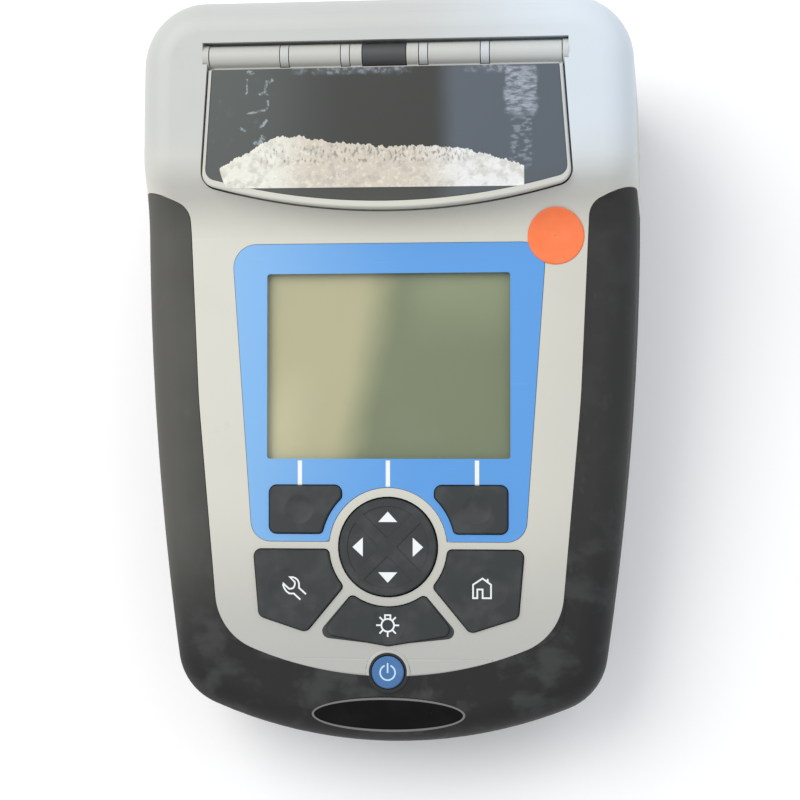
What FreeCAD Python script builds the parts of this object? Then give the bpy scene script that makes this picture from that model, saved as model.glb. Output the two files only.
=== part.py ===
"""Portable spectrophotometer: a wedge-shaped bench instrument with a sloping key face and a
raised head, whose hinged lid covers two sample wells. X runs across, +Y towards the head, +Z up.
The origin is on the table, under the middle of the body."""
import FreeCAD, Part
import math
import os

V = FreeCAD.Vector
UP = V(0, 0, 1)
ACROSS = V(1, 0, 0)
OUT = "parts"
FAR = 400.0

# Overall body, in millimetres
BODY_LENGTH = 257.0
SPLIT_Z = 30.0
BASE_Z = 2.0
WALL = 2.5
TRIM_GAP = 0.3
FRONT_Y = -BODY_LENGTH / 2
BACK_Y = BODY_LENGTH / 2

# Plan outline at the split line: its corners before rounding, and the middle of a curved side
BACK_CORNER = V(88.0, BACK_Y, 0)
SIDE_MIDDLE = V(86.2, -9.0, 0)
FRONT_CORNER = V(74.2, FRONT_Y + 17.5, 0)
BACK_CORNER_RADIUS = 26.0
FRONT_CORNER_RADIUS = 22.0
WALL_DRAFT_DEG = 4.0
CROWN_RADIUS = 11.0
BASE_LEAN_DEG = 12.0
BASE_EDGE_RADIUS = 9.5

# Face plane that carries the display and the keys
FACE_TILT_DEG = 9.0
FACE_CENTRE = V(0, 0, 64.7)

# Head plane that carries the lid, and the rise between the two planes
HEAD_TILT_DEG = 13.0
HEAD_CREST_Y = 118.0
HEAD_CREST_Z = 99.3
RISE_START_Y = 52.0
RISE_END_Y = 64.0
RISE_FOOT_RADIUS = 20.0
RISE_BROW_RADIUS = 16.0

# Rubber grip: where its upper edge runs, seen from above
GRIP_THICKNESS = 1.4
GRIP_GAP = 0.25
GRIP_NOTCH_OUT = V(110.0, 70.5, 0)
GRIP_NOTCH_IN = V(69.8, 54.6, 0)
GRIP_EDGE_MIDDLE = V(66.7, -11.7, 0)
GRIP_CORNER = V(58.8, -101.0, 0)
GRIP_FRONT_Y = -106.3
GRIP_FRONT_RADIUS = 126.8
GRIP_NOTCH_RADIUS = 6.0
GRIP_EDGE_RADIUS = 300.0
GRIP_CORNER_RADIUS = 11.0

# Lid and hinge, drawn from the hinge axis with the head plane above it
BARREL_RADIUS = 3.9
HINGE_Y = 103.4
LID_SIDE_ROOM = 10.4
LID_SPLAY = 3.4
LID_CORNER_REACH = 43.6
LID_REACH = 52.6
LID_CORNER_RADIUS = 5.0
LID_PLATE = 2.6
LID_SKIRT = 2.2
LID_GAP = 0.6
LID_SINK = 5.4
LID_REST_GAP = 0.4
LID_RIM = 1.4
LID_FRONT_RIM = 2.6
LID_HINGE_LIP = 0.7
LID_BACK_BEVEL = 0.8
LID_EDGE_RADIUS = 0.9
PANEL_GAP = 0.15
PANEL_THICKNESS = 1.0
PANEL_SINK = 0.25
PIN_RADIUS = 1.25
PIN_CLEARANCE = 0.04
KNUCKLE_GAP = 0.3
KNUCKLE_HALF_WIDTH = 1.4
KNUCKLES_AT = (13.4, 34.4)
CENTRE_KNUCKLE_HALF_WIDTH = 7.4
END_CAP = 2.0
TROUGH_GAP = 0.8
SEAL_WIDTH = 2.0
SEAL_ROOM = 1.0

CELL_BLOCK_HALF_WIDTH = 50.0
LID_HINGE_HALF_WIDTH = CELL_BLOCK_HALF_WIDTH + LID_SIDE_ROOM
LID_FRONT_HALF_WIDTH = LID_HINGE_HALF_WIDTH + LID_SPLAY
HINGE_CENTRE = V(0, HINGE_Y, HEAD_CREST_Z - (HEAD_CREST_Y - HINGE_Y) * math.tan(
    math.radians(HEAD_TILT_DEG)) - BARREL_RADIUS / math.cos(math.radians(HEAD_TILT_DEG)))
LEDGE = BARREL_RADIUS - LID_SINK
MOAT_Y = 62.0

# Sample wells, seen from above
WELL_Y = 81.0
CELL_BLOCK_HALF_DEPTH = 15.2
CELL_DECK_Z = 82.0
CELL_DECK_WALL = 1.3
CELL_DECK_CORNER = 3.0
CELL_BLOCK_FLOOR_Z = 20.0
CELL_FLANGE = 1.3
CELL_FLANGE_THICKNESS = 1.6
CELL_BLOCK_GAP = 0.3
ROUND_WELL_X = 32.0
ROUND_WELL_RADIUS = 13.0
ROUND_WELL_FLOOR_Z = 24.0
LONG_WELL_X = -14.0
LONG_WELL_LENGTH = 53.0
LONG_WELL_WIDTH = 13.2
LONG_WELL_FLOOR_Z = 34.0
BEAM_Z = 44.0
BEAM_RADIUS = 3.0
BEAM_WINDOW_RADIUS = 5.0
BEAM_WINDOW_THICKNESS = 1.0
LONG_WELL_CORNER = 1.0
CLIP_WIDTH = 8.0
CLIP_HEIGHT = 22.0
CLIP_POCKET = 1.2
CLIP_THICKNESS = 0.4

# Display, on the face plane
BEZEL_TOP = 42.7
BEZEL_TOP_HALF_WIDTH = 54.9
BEZEL_BOTTOM = -61.0
BEZEL_BOTTOM_HALF_WIDTH = 47.6
BEZEL_TOP_RADIUS = 8.0
BEZEL_BOTTOM_RADIUS = 7.0
BEZEL_THICKNESS = 0.9
BEZEL_PROUD = 0.2
BEZEL_GAP = 0.2
SCREEN_HALF_WIDTH = 42.5
SCREEN_HALF_HEIGHT = 32.3
SCREEN_RADIUS = 1.0
WINDOW_LAP = 1.6
WINDOW_THICKNESS = 1.5
LCD_GAP = 0.3
LCD_THICKNESS = 2.0
LIGHT_GUIDE_THICKNESS = 2.4
LCD_FRAME_RIM = 2.0

# Keys, on the face plane. Each outline runs counterclockwise and is given for the right side
SOFT_KEY = [(41.5, -41.6), (16.3, -41.6), (16.3, -58.2), (41.5, -58.2)]
SOFT_KEY_RING = 23.6
MENU_KEY = [(47.1, -63.9), (17.0, -63.9), (12.6, -73.0), (28.6, -92.4), (45.1, -87.0)]
LIGHT_KEY = [(10.2, -76.5), (-10.2, -76.5), (-23.4, -93.0), (0.0, -97.0), (23.4, -93.0)]
KEY_CORNER_RADIUS = 2.5
NAV_AT = (0.0, -62.9)
NAV_RADIUS = 16.9
NAV_RING_RADIUS = 20.5
KEY_GAP = 0.35
NAV_GAP = 0.6
KEY_PROUD = 1.1
KEY_FLANGE = 1.2
KEY_FLANGE_THICKNESS = 1.0
KEY_UNDER_GAP = 0.3
KEY_TRAVEL = 1.0
KEY_EDGE = 0.45
DISH_RADIUS = 6.8
DISH_DEPTH = 0.35
LIGHT_DISH_AT = (0.0, -89.6)
LIGHT_DISH_RADIUS = 5.8
MENU_DISH_AT = (35.0, -77.2)
SOFT_DISH_AT = (31.0, -49.8)
STEM_RADIUS = 3.0
POWER_AT = (0.0, -106.2)
POWER_RADIUS = 5.6
POWER_RING_RADIUS = 7.2
POWER_RING_PROUD = 0.3
NAV_TILT_DEG = 3.5
NAV_PAD_DEPTH = 1.2
NAV_PIVOT_DEPTH = 4.6
NAV_STEM_RADIUS = 1.8
ARROW_STEM_REACH = 10.5
SPIDER_ARM_RADIUS = 1.2
SPIDER_ARM_LENGTH = 5.0
BEARING_GAP = 0.3
EAR_THICKNESS = 1.6
EAR_RADIUS = 2.4
CRADLE_RADIUS = 6.6
PETAL_IN = 3.2
PETAL_OUT = 14.2
PETAL_ARM = 4.0
PETAL_DEPTH = 0.35

# Circuit board under the keys
BOARD_DEPTH = 9.6
BOARD_THICKNESS = 1.6
BOARD_HALF_WIDTH = 58.0
BOARD_FRONT_HALF_WIDTH = 44.0
BOARD_TOP = 38.0
BOARD_BOTTOM = -108.0
DOME_HEIGHT = 0.4
DOME_RADIUS = 3.6
DOME_SPARE = 0.2
MAT_THICKNESS = 1.1
MAT_HOLE_RADIUS = 4.6
CHIPS = ((-30.0, -20.0, 14.0, 14.0, 1.6), (10.0, -22.0, 10.0, 10.0, 1.4),
         (34.0, -60.0, 8.0, 12.0, 2.0), (-24.0, -84.0, 9.0, 6.0, 2.4))
BOARD_POST_RADIUS = 3.0
BOARD_SCREW_RADIUS = 1.0
BOARD_SCREWS_AT = ((52.0, 33.0), (52.0, -34.0), (38.0, -100.0))

# Badge on the nose
BADGE_CENTRE = V(0, -119.3, 44.6)
BADGE_TILT_DEG = 20.0
BADGE_HALF_WIDTH = 26.8
BADGE_HALF_HEIGHT = 6.2
BADGE_RIM = 0.8
BADGE_THICKNESS = 1.0

# Base: batteries, door, feet and case screws
BATTERY_RADIUS = 7.1
BATTERY_LENGTH = 50.2
BATTERY_ROWS_Y = (-46.6, -62.0)
BATTERY_NUB = 1.2
TRAY_WALL = 1.6
TRAY_FIT = 0.4
TRAY_END_ROOM = 4.0
DOOR_LAP = 3.0
DOOR_GAP = 0.4
DOOR_THICKNESS = 1.4
CONTACT_THICKNESS = 0.4
FOOT_RADIUS = 7.0
FOOT_SINK = 0.8
FEET_AT = ((46.0, 100.0), (44.0, -96.0))
CASE_SCREWS_AT = ((69.0, 100.0), (68.0, 2.0), (60.0, -84.0))
CASE_POST_RADIUS = 4.6
CASE_SCREW_SEAT_Z = 22.0
CASE_SCREW_RADIUS = 1.5
CASE_SCREW_HEAD_RADIUS = 2.9
CASE_SCREW_HEAD_HEIGHT = 2.2
SEAL_SECTION = 1.2
SEAL_GAP = 0.2

# Optical bench between the wells and the batteries
BENCH_Z = 31.0
BENCH_THICKNESS = 3.0
BENCH_HALF_WIDTH = 70.0
BENCH_FRONT_Y = 6.0
BENCH_BACK_Y = 60.0
BENCH_ARM_BACK_Y = 92.0
BENCH_ARM_IN_X = CELL_BLOCK_HALF_WIDTH + 3.0
BENCH_POSTS_AT = ((64.0, 13.0), (64.0, 71.0), (24.0, 12.0))
BENCH_POST_RADIUS = 4.0
BENCH_SCREW_RADIUS = 1.25
MOTOR_RADIUS = 10.0
MOTOR_HEIGHT = 18.0
GRATING_AT = V(4.0, 48.0, 0)
SHAFT_RADIUS = 1.5
TABLE_RADIUS = 9.0
TABLE_THICKNESS = 2.5
TABLE_GAP = 0.6
TABLE_SWING_DEG = 30.0
GRATING_SIZE = (14.0, 3.0, 12.0)
MIRROR_RADIUS = 7.0
MIRROR_THICKNESS = 3.0
MIRROR_CURVE = 90.0
MIRRORS_AT = ((-60.0, 30.0, 8.0), (-60.0, 50.0, -8.0))
FOLD_AT = (-CELL_BLOCK_HALF_WIDTH - 11.0, WELL_Y, -45.0)
SLITS_AT = ((26.0, 30.0, 0.0), (FOLD_AT[0], 61.0, 90.0))
SLIT_PLATE = (0.8, 12.0, 15.0)
SLIT_WIDTH = 1.0
SLIT_HEIGHT = 6.0
HOLDER_FOOT = (8.0, 12.0, 2.0)
LAMP_AT = V(52.0, 30.0, 0)
LAMP_HOUSING = (26.0, 18.0, 17.0)
LAMP_RADIUS = 5.0
LAMP_LENGTH = 18.0
LENS_RADIUS = 6.0
DETECTOR_X = CELL_BLOCK_HALF_WIDTH + 6.0
DETECTOR_BOARD = (1.6, 20.0, 22.0)
DIODE_RADIUS = 4.0
DIODE_LENGTH = 3.4


def arc(first, middle, last):
    return Part.Arc(first, middle, last).toShape()


def mirrored(point):
    return V(-point.x, point.y, point.z)


def tilted(shape, centre, tilt_deg):
    """A shape drawn level about the origin, tilted up towards +Y and set at a centre."""
    moved = shape.copy()
    moved.rotate(V(0, 0, 0), ACROSS, tilt_deg)
    moved.translate(centre)
    return moved


def face_height(y):
    return FACE_CENTRE.z + (y - FACE_CENTRE.y) * math.tan(math.radians(FACE_TILT_DEG))


def head_height(y):
    return HEAD_CREST_Z + (y - HEAD_CREST_Y) * math.tan(math.radians(HEAD_TILT_DEG))


def back_corner_centre(side, radius):
    """Centre of the arc that rounds the corner between a curved side and the straight back."""
    y = BACK_Y - radius
    reach = math.sqrt((side.Radius - radius) ** 2 - (y - side.Center.y) ** 2)
    return V(side.Center.x + reach, y, 0)


def corner_centre(first, second, radius, near):
    """Centre of the arc that rounds the corner between two circles, on the inside of both."""
    r1, r2 = first.Radius - radius, second.Radius - radius
    between = second.Center - first.Center
    along = (r1 ** 2 - r2 ** 2 + between.Length ** 2) / (2 * between.Length)
    aside = math.sqrt(r1 ** 2 - along ** 2)
    direction = between.normalize()
    normal = V(-direction.y, direction.x, 0)
    found = [first.Center + direction * along + normal * (sign * aside) for sign in (1, -1)]
    return min(found, key=lambda p: p.distanceToPoint(near))


def from_centre(circle, point):
    """Where a circle touches a smaller one inside it that has its centre at a point."""
    return circle.Center + (point - circle.Center).normalize() * circle.Radius


def plan_outline():
    """The body's outline at the split line, clockwise from the right side. Each entry is an
    arc's centre and its two ends, or None and two ends for the straight back."""
    side = arc(BACK_CORNER, SIDE_MIDDLE, FRONT_CORNER).Curve
    front = arc(FRONT_CORNER, V(0, FRONT_Y, 0), mirrored(FRONT_CORNER)).Curve
    low = corner_centre(side, front, FRONT_CORNER_RADIUS, FRONT_CORNER)
    high = back_corner_centre(side, BACK_CORNER_RADIUS)
    back_end = V(high.x, BACK_Y, 0)
    side_top, side_end = from_centre(side, high), from_centre(side, low)
    front_end = from_centre(front, low)
    right = [(high, back_end, side_top), (side.Center, side_top, side_end),
             (low, side_end, front_end)]
    left = [(mirrored(c), mirrored(b), mirrored(a)) for c, a, b in reversed(right)]
    nose = (front.Center, front_end, mirrored(front_end))
    return right + [nose] + left + [(None, mirrored(back_end), back_end)]


def moved_in(point, centre, inset, z):
    """A point of the outline moved inwards by inset, and lifted to z."""
    if centre is None:
        return point - V(0, inset, 0) + UP * z
    spoke = point - centre
    return centre + spoke * ((spoke.Length - inset) / spoke.Length) + UP * z


def outline_face(outline, inset, z):
    """The flat area inside the outline, moved inwards by inset and lifted to z."""
    edges = []
    for centre, first, last in outline:
        start, end = [moved_in(p, centre, inset, z) for p in (first, last)]
        if centre is None:
            edges.append(Part.makeLine(start, end))
        else:
            level = centre + UP * z
            spoke = (start + end) / 2 - level
            edges.append(arc(start, level + spoke.normalize() * (start - level).Length, end))
    return Part.Face(Part.Wire(edges))


def section_wire(section, point, centre):
    """A wall's section drawn at one point of the outline, from (inset, height) corners."""
    return Part.makePolygon([moved_in(point, centre, *corner) for corner in section])


def walled(outline, section):
    """A solid whose wall carries a section round the outline, from its foot to its top."""
    faces = []
    for centre, first, last in outline:
        wire = section_wire(section, first, centre)
        if centre is None:
            faces += wire.extrude(last - first).Faces
        else:
            turn = math.degrees((last - centre).getAngle(first - centre))
            faces += wire.revolve(centre, -UP, turn).Faces
    faces.append(outline_face(outline, *section[0]))
    faces.append(outline_face(outline, *section[-1]))
    shell = Part.makeShell(faces)
    shell.sewShape()
    return Part.makeSolid(shell)


def rise_profile(inset):
    """The top of the body in side view: face plane, rise and head plane, with rounded creases.
    Returned as one face in the YZ plane that covers everything under the top."""
    drop_face = inset / math.cos(math.radians(FACE_TILT_DEG))
    drop_head = inset / math.cos(math.radians(HEAD_TILT_DEG))
    foot = V(0, RISE_START_Y, face_height(RISE_START_Y) - drop_face)
    brow = V(0, RISE_END_Y, head_height(RISE_END_Y) - drop_head)
    front = V(0, -FAR, face_height(-FAR) - drop_face)
    back = V(0, FAR, head_height(FAR) - drop_head)
    corners = [V(0, -FAR, -FAR), V(0, FAR, -FAR), back, brow, foot, front]
    radii = [0, 0, 0, RISE_BROW_RADIUS - inset, RISE_FOOT_RADIUS + inset, 0]
    return rounded_face(corners, radii)


def rounded_face(points, radii):
    """A flat face with straight sides between corners, each corner rounded by its own radius."""
    edges = []
    starts, ends = [], []
    for i, corner in enumerate(points):
        before = (points[i - 1] - corner).normalize()
        after = (points[(i + 1) % len(points)] - corner).normalize()
        half = before.getAngle(after) / 2
        reach = radii[i] / math.tan(half)
        starts.append(corner + before * reach)
        ends.append(corner + after * reach)
        if radii[i]:
            bisector = (before + after).normalize()
            middle = corner + bisector * (radii[i] / math.sin(half) - radii[i])
            edges.append(arc(starts[i], middle, ends[i]))
    for i in range(len(points)):
        edges.append(Part.makeLine(ends[i - 1], starts[i]))
    return Part.Face(Part.Wire(Part.__sortEdges__(edges)))


def outer_rim(body):
    """The edges where the top of a form meets its side walls."""
    tops = [f for f in body.Faces if f.normalAt(*f.Surface.parameter(f.CenterOfMass)).z > 0.5]
    seen = {}
    for face in tops:
        for edge in face.Edges:
            seen.setdefault(edge.hashCode(), []).append(edge)
    return [edges[0] for edges in seen.values() if len(edges) == 1]


def upper_form(outline, inset):
    """The body above the split line, with a rounded crown. A form inside the skin takes an
    inset and gets a bevelled crown instead, which follows the rounded one closely."""
    height = 2 * HEAD_CREST_Z
    lean = (height - SPLIT_Z) * math.tan(math.radians(WALL_DRAFT_DEG))
    walls = walled(outline, [(inset, SPLIT_Z), (inset + lean, height)])
    under = rise_profile(inset).extrude(ACROSS * FAR)
    under.translate(ACROSS * (-FAR / 2))
    body = walls.common(under)
    rim = outer_rim(body)
    if inset > 0:
        return body.makeChamfer(0.6 * (CROWN_RADIUS - inset), rim).Solids[0]
    return body.makeFillet(CROWN_RADIUS - inset, rim).Solids[0]


def box(x0, x1, y0, y1, z0, z1):
    return Part.makeBox(x1 - x0, y1 - y0, z1 - z0, V(x0, y0, z0))


def rod(radius, length, base, axis=UP):
    return Part.makeCylinder(radius, length, base, axis)


def fused(shapes):
    """One solid out of pieces that touch, with the seams between them cleaned away."""
    shapes = list(shapes)
    whole = shapes[0].multiFuse(shapes[1:]) if len(shapes) > 1 else shapes[0]
    return whole.removeSplitter()


def on_face(shape):
    """A shape drawn on the level XY plane, laid on the face plane."""
    return tilted(shape, FACE_CENTRE, FACE_TILT_DEG)


def on_head(shape):
    """A shape drawn round the X axis, moved to the hinge with the head's tilt."""
    return tilted(shape, HINGE_CENTRE, HEAD_TILT_DEG)


def above(height, on_plane):
    """Everything above a height over one of the two sloping planes."""
    return on_plane(box(-FAR, FAR, -FAR, FAR, height, FAR))


def prism(face, low, high):
    """A flat face in the XY plane as a solid between two heights."""
    moved = face.copy()
    moved.translate(UP * low)
    return moved.extrude(UP * (high - low))


def lid_outline(grow):
    """The lid seen square to the head, from the hinge axis to its curved front edge."""
    front = arc(V(-LID_FRONT_HALF_WIDTH, -LID_CORNER_REACH, 0), V(0, -LID_REACH, 0),
                V(LID_FRONT_HALF_WIDTH, -LID_CORNER_REACH, 0)).Curve
    side = V(LID_FRONT_HALF_WIDTH - LID_HINGE_HALF_WIDTH, -LID_CORNER_REACH, 0).normalize()
    out = V(-side.y, side.x, 0)
    hinge_end = V(LID_HINGE_HALF_WIDTH, 0, 0) + out * grow
    radius = front.Radius + grow
    along = hinge_end - front.Center
    reach = math.sqrt(radius ** 2 - along.dot(out) ** 2) - along.dot(side)
    corner = hinge_end + side * reach
    inner = radius - LID_CORNER_RADIUS - grow
    offset = along.dot(out) - LID_CORNER_RADIUS - grow
    centre = front.Center + out * offset + side * math.sqrt(inner ** 2 - offset ** 2)
    round_start = centre + out * (LID_CORNER_RADIUS + grow)
    round_end = front.Center + (centre - front.Center).normalize() * radius
    round_middle = centre + (corner - centre).normalize() * (LID_CORNER_RADIUS + grow)
    points = [hinge_end, round_start, round_middle, round_end]
    left = [mirrored(p) for p in points]
    edges = [Part.makeLine(points[0], points[1]), arc(*points[1:]),
             arc(points[3], front.Center - V(0, radius, 0), left[3]),
             arc(left[3], left[2], left[1]), Part.makeLine(left[1], left[0]),
             Part.makeLine(left[0], points[0])]
    return Part.Face(Part.Wire(edges))


def lid_prism(grow, low, high):
    """The lid's outline, grown sideways, between two heights over the hinge axis."""
    return on_head(prism(lid_outline(grow), low, high))


def base_section(inset):
    """The section of the base wall: foot, bevelled lower edge and leaning side."""
    lean = math.radians(BASE_LEAN_DEG)
    radius = BASE_EDGE_RADIUS - inset
    floor = BASE_Z + inset
    side = inset / math.cos(lean)
    centre_in = side + (SPLIT_Z - floor - radius) * math.tan(lean) + radius / math.cos(lean)
    half = (math.pi / 2 - lean) / 2 + lean
    low = (centre_in, floor)
    middle = (centre_in - radius * math.cos(half), floor + radius - radius * math.sin(half))
    high = (centre_in - radius * math.cos(lean), floor + radius - radius * math.sin(lean))
    if inset > 0:
        return [low, high, (side, SPLIT_Z)]
    return [low, middle, high, (side, SPLIT_Z)]


def light_zone(grow):
    """The light-coloured part of the top, seen from above: all that the grip leaves free."""
    right = [GRIP_CORNER, GRIP_EDGE_MIDDLE, GRIP_NOTCH_IN, GRIP_NOTCH_OUT, V(110, FAR, 0)]
    radii = [0, GRIP_EDGE_RADIUS, GRIP_NOTCH_RADIUS, 0, 0]
    corners = right + [mirrored(p) for p in reversed(right)]
    area = rounded_face(corners, radii + radii[::-1])
    if grow:
        area = Part.Face(area.OuterWire.makeOffset2D(grow))
    centre = V(0, GRIP_FRONT_Y + GRIP_FRONT_RADIUS, 0)
    nose = rod(GRIP_FRONT_RADIUS + grow, FAR, centre).fuse(
        box(-FAR, FAR, centre.y, FAR, 0, FAR))
    zone = prism(area, 0, FAR).common(nose)
    corner = [e for e in upright(zone) if -97 < e.CenterOfMass.y < -80]
    return zone.makeFillet(GRIP_CORNER_RADIUS + grow, corner)


def upright(shape):
    """The straight vertical edges of a shape."""
    lines = [e for e in shape.Edges if e.Curve.TypeId == "Part::GeomLine"]
    return [e for e in lines if abs(e.Curve.Direction.z) > 0.99]


def lid_room():
    """What the lid takes out of the housing: the pocket down to the ledge, a moat for its front
    and side walls, and the trough for the barrel."""
    pocket = lid_prism(LID_GAP, LEDGE, FAR)
    ring = lid_prism(LID_GAP, -FAR, FAR).cut(lid_prism(-LID_SKIRT - LID_GAP, -FAR, FAR))
    moat = ring.common(box(-FAR, FAR, 0, MOAT_Y, 0, FAR)).common(above(0, on_face))
    reach = LID_HINGE_HALF_WIDTH + KNUCKLE_GAP + END_CAP
    radius = BARREL_RADIUS + TROUGH_GAP
    trough = rod(radius, 2 * reach, V(-reach, 0, 0), ACROSS)
    chimney = box(-reach, reach, 0, radius, 0, FAR)
    return fused([pocket, moat, on_head(trough.fuse(chimney))])


def lid_room_walls():
    """The solid material kept under and around the lid's room."""
    floor = lid_prism(LID_GAP + WALL, LEDGE - WALL, FAR)
    front = lid_prism(LID_GAP + WALL, -FAR, FAR).common(
        box(-FAR, FAR, 0, MOAT_Y + WALL, 0, FAR)).common(above(-WALL, on_face))
    reach = LID_HINGE_HALF_WIDTH + KNUCKLE_GAP + END_CAP + WALL
    trough = rod(BARREL_RADIUS + TROUGH_GAP + WALL, 2 * reach, V(-reach, 0, 0), ACROSS)
    return [floor, front, on_head(trough)]


def key_area(points, grow, ring_radius):
    """A key seen square to the face: its outline moved outwards by grow, less the ring."""
    corners = grown([V(x, y, 0) for x, y in points], grow)
    area = rounded_face(corners, [KEY_CORNER_RADIUS + grow] * len(corners))
    if ring_radius:
        area = area.cut(Part.Face(Part.Wire(Part.makeCircle(
            ring_radius - grow, V(NAV_AT[0], NAV_AT[1], 0)))))
    return area.Faces[0]


def grown(points, amount):
    """The corners of a convex counterclockwise outline with each side moved outwards."""
    moved = []
    for i, corner in enumerate(points):
        before = (corner - points[i - 1]).normalize()
        after = (points[(i + 1) % len(points)] - corner).normalize()
        out = (V(before.y, -before.x, 0) + V(after.y, -after.x, 0)).normalize()
        moved.append(corner + out * (amount / out.dot(V(after.y, -after.x, 0))))
    return moved


def key_prism(points, grow, ring_radius, low, high):
    """A key-shaped solid between two heights, with its corners at the ring rounded."""
    solid = prism(key_area(points, grow, ring_radius), low, high)
    if not ring_radius:
        return solid
    centre = V(NAV_AT[0], NAV_AT[1], 0)
    near = [e for e in upright(solid) if abs(V(e.CenterOfMass.x, e.CenterOfMass.y, 0).
            distanceToPoint(centre) - ring_radius + grow) < 0.01]
    return solid.makeFillet(KEY_CORNER_RADIUS * 0.7 + grow * 0.5, near)


def disc_at(at, radius, low, high):
    """A round solid square to the face plane, between two heights over it."""
    return rod(radius, high - low, V(at[0], at[1], low))


def both_sides(shapes):
    """Shapes with their mirror images on the other side of the YZ plane."""
    shapes = list(shapes)
    return shapes + [s.mirror(V(0, 0, 0), ACROSS) for s in shapes]


def both_signs(places):
    """Places given for the right side, with the left ones added."""
    return list(places) + [(-x, y) for x, y in places]


def face_openings():
    """What the keys, the display and their trims take out of the skin, on the face plane."""
    low, high = -WALL - 2, 5
    cuts = [key_prism(SOFT_KEY, KEY_GAP, SOFT_KEY_RING, low, high),
            key_prism(MENU_KEY, KEY_GAP, NAV_RING_RADIUS + KEY_GAP, low, high)]
    cuts = both_sides(cuts)
    cuts.append(key_prism(LIGHT_KEY, KEY_GAP, NAV_RING_RADIUS + KEY_GAP, low, high))
    cuts.append(disc_at(NAV_AT, NAV_RADIUS + NAV_GAP, low, high))
    cuts.append(disc_at(POWER_AT, POWER_RING_RADIUS, low, high))
    lap = WINDOW_LAP + 0.1
    cuts.append(box(-SCREEN_HALF_WIDTH - lap, SCREEN_HALF_WIDTH + lap,
                    -SCREEN_HALF_HEIGHT - lap, SCREEN_HALF_HEIGHT + lap, low, high))
    cuts.append(prism(bezel_area(BEZEL_GAP), BEZEL_PROUD - BEZEL_THICKNESS, high))
    return [on_face(cut) for cut in cuts]


def bezel_area(grow):
    """The display bezel seen square to the face, moved outwards by grow."""
    corners = [(BEZEL_TOP_HALF_WIDTH, BEZEL_TOP), (-BEZEL_TOP_HALF_WIDTH, BEZEL_TOP),
               (-BEZEL_BOTTOM_HALF_WIDTH, BEZEL_BOTTOM), (BEZEL_BOTTOM_HALF_WIDTH, BEZEL_BOTTOM)]
    radii = [BEZEL_TOP_RADIUS, BEZEL_TOP_RADIUS, BEZEL_BOTTOM_RADIUS, BEZEL_BOTTOM_RADIUS]
    area = rounded_face(grown([V(x, y, 0) for x, y in corners], grow), [r + grow for r in radii])
    ring = Part.makeCircle(NAV_RING_RADIUS + BEZEL_GAP - grow, V(NAV_AT[0], NAV_AT[1], 0))
    return area.cut(Part.Face(Part.Wire(ring))).Faces[0]


def badge_prism(grow, low, high):
    """The badge's oval between two heights over its own tilted plane."""
    oval = Part.Ellipse(V(0, 0, 0), BADGE_HALF_WIDTH + grow, BADGE_HALF_HEIGHT + grow)
    face = Part.Face(Part.Wire(oval.toShape()))
    return tilted(prism(face, low, high), BADGE_CENTRE, BADGE_TILT_DEG)


def cell_opening(grow):
    """The hole in the ledge for the cell block."""
    wide, deep = CELL_BLOCK_HALF_WIDTH + grow, CELL_BLOCK_HALF_DEPTH + grow
    return box(-wide, wide, WELL_Y - deep, WELL_Y + deep, SPLIT_Z, FAR)


def top_posts(mid):
    """Posts under the skin: six for the case screws and six that carry the circuit board."""
    tall = [rod(CASE_POST_RADIUS - 1, FAR, V(x, y, SPLIT_Z)) for x, y in both_signs(CASE_SCREWS_AT)]
    short = [on_face(disc_at(at, BOARD_POST_RADIUS, -BOARD_DEPTH, -WALL + 0.5))
             for at in both_signs(BOARD_SCREWS_AT)]
    posts = [post.common(mid) for post in tall + short]
    drills = [rod(CASE_SCREW_RADIUS, 14, V(x, y, SPLIT_Z)) for x, y in both_signs(CASE_SCREWS_AT)]
    drills += [on_face(disc_at(at, BOARD_SCREW_RADIUS, -BOARD_DEPTH, -WALL - 0.6))
               for at in both_signs(BOARD_SCREWS_AT)]
    return posts, drills


def knuckles():
    """The housing's narrow hinge knuckles, drawn at the hinge."""
    made = []
    for x in KNUCKLES_AT:
        disc = rod(BARREL_RADIUS, 2 * KNUCKLE_HALF_WIDTH, V(x - KNUCKLE_HALF_WIDTH, 0, 0), ACROSS)
        foot = box(x - KNUCKLE_HALF_WIDTH, x + KNUCKLE_HALF_WIDTH, -2.4, 2.4,
                   -BARREL_RADIUS - TROUGH_GAP - 0.5, 0)
        made.append(disc.fuse(foot))
    return [on_head(shape) for shape in both_sides(made)]


def make_top(outline):
    """The upper housing and the rubber grip that lies over it."""
    outer = upper_form(outline, 0)
    mid = upper_form(outline, GRIP_THICKNESS)
    inner = upper_form(outline, WALL)
    for keep in lid_room_walls():
        inner = inner.cut(keep)
    whole = outer.common(light_zone(0)).fuse(mid)
    posts, drills = top_posts(mid)
    bore = on_head(rod(PIN_RADIUS, 110, V(-55, 0, 0), ACROSS))
    cuts = [lid_room(), cell_opening(CELL_BLOCK_GAP), badge_prism(BEZEL_GAP, -BADGE_THICKNESS, 9)]
    cuts += face_openings()
    shell = whole.cut(inner).fuse(posts).cut(cuts).fuse(knuckles())
    shell = shell.cut(drills + [bore])
    grip = outer.cut([mid, light_zone(GRIP_GAP), badge_prism(BEZEL_GAP, -9, 9),
                      on_face(disc_at(POWER_AT, POWER_RING_RADIUS, -9, 9)), lid_room()])
    return shell.removeSplitter(), grip.removeSplitter()


def tray_box(grow, low, high):
    """The room for the batteries, moved outwards by grow."""
    half = BATTERY_LENGTH + TRAY_END_ROOM + grow
    front = min(BATTERY_ROWS_Y) - BATTERY_RADIUS - TRAY_FIT - grow
    back = max(BATTERY_ROWS_Y) + BATTERY_RADIUS + TRAY_FIT + grow
    return box(-half, half, front, back, low, high)


def battery_z():
    return BASE_Z + WALL + TRAY_FIT + BATTERY_RADIUS


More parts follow.
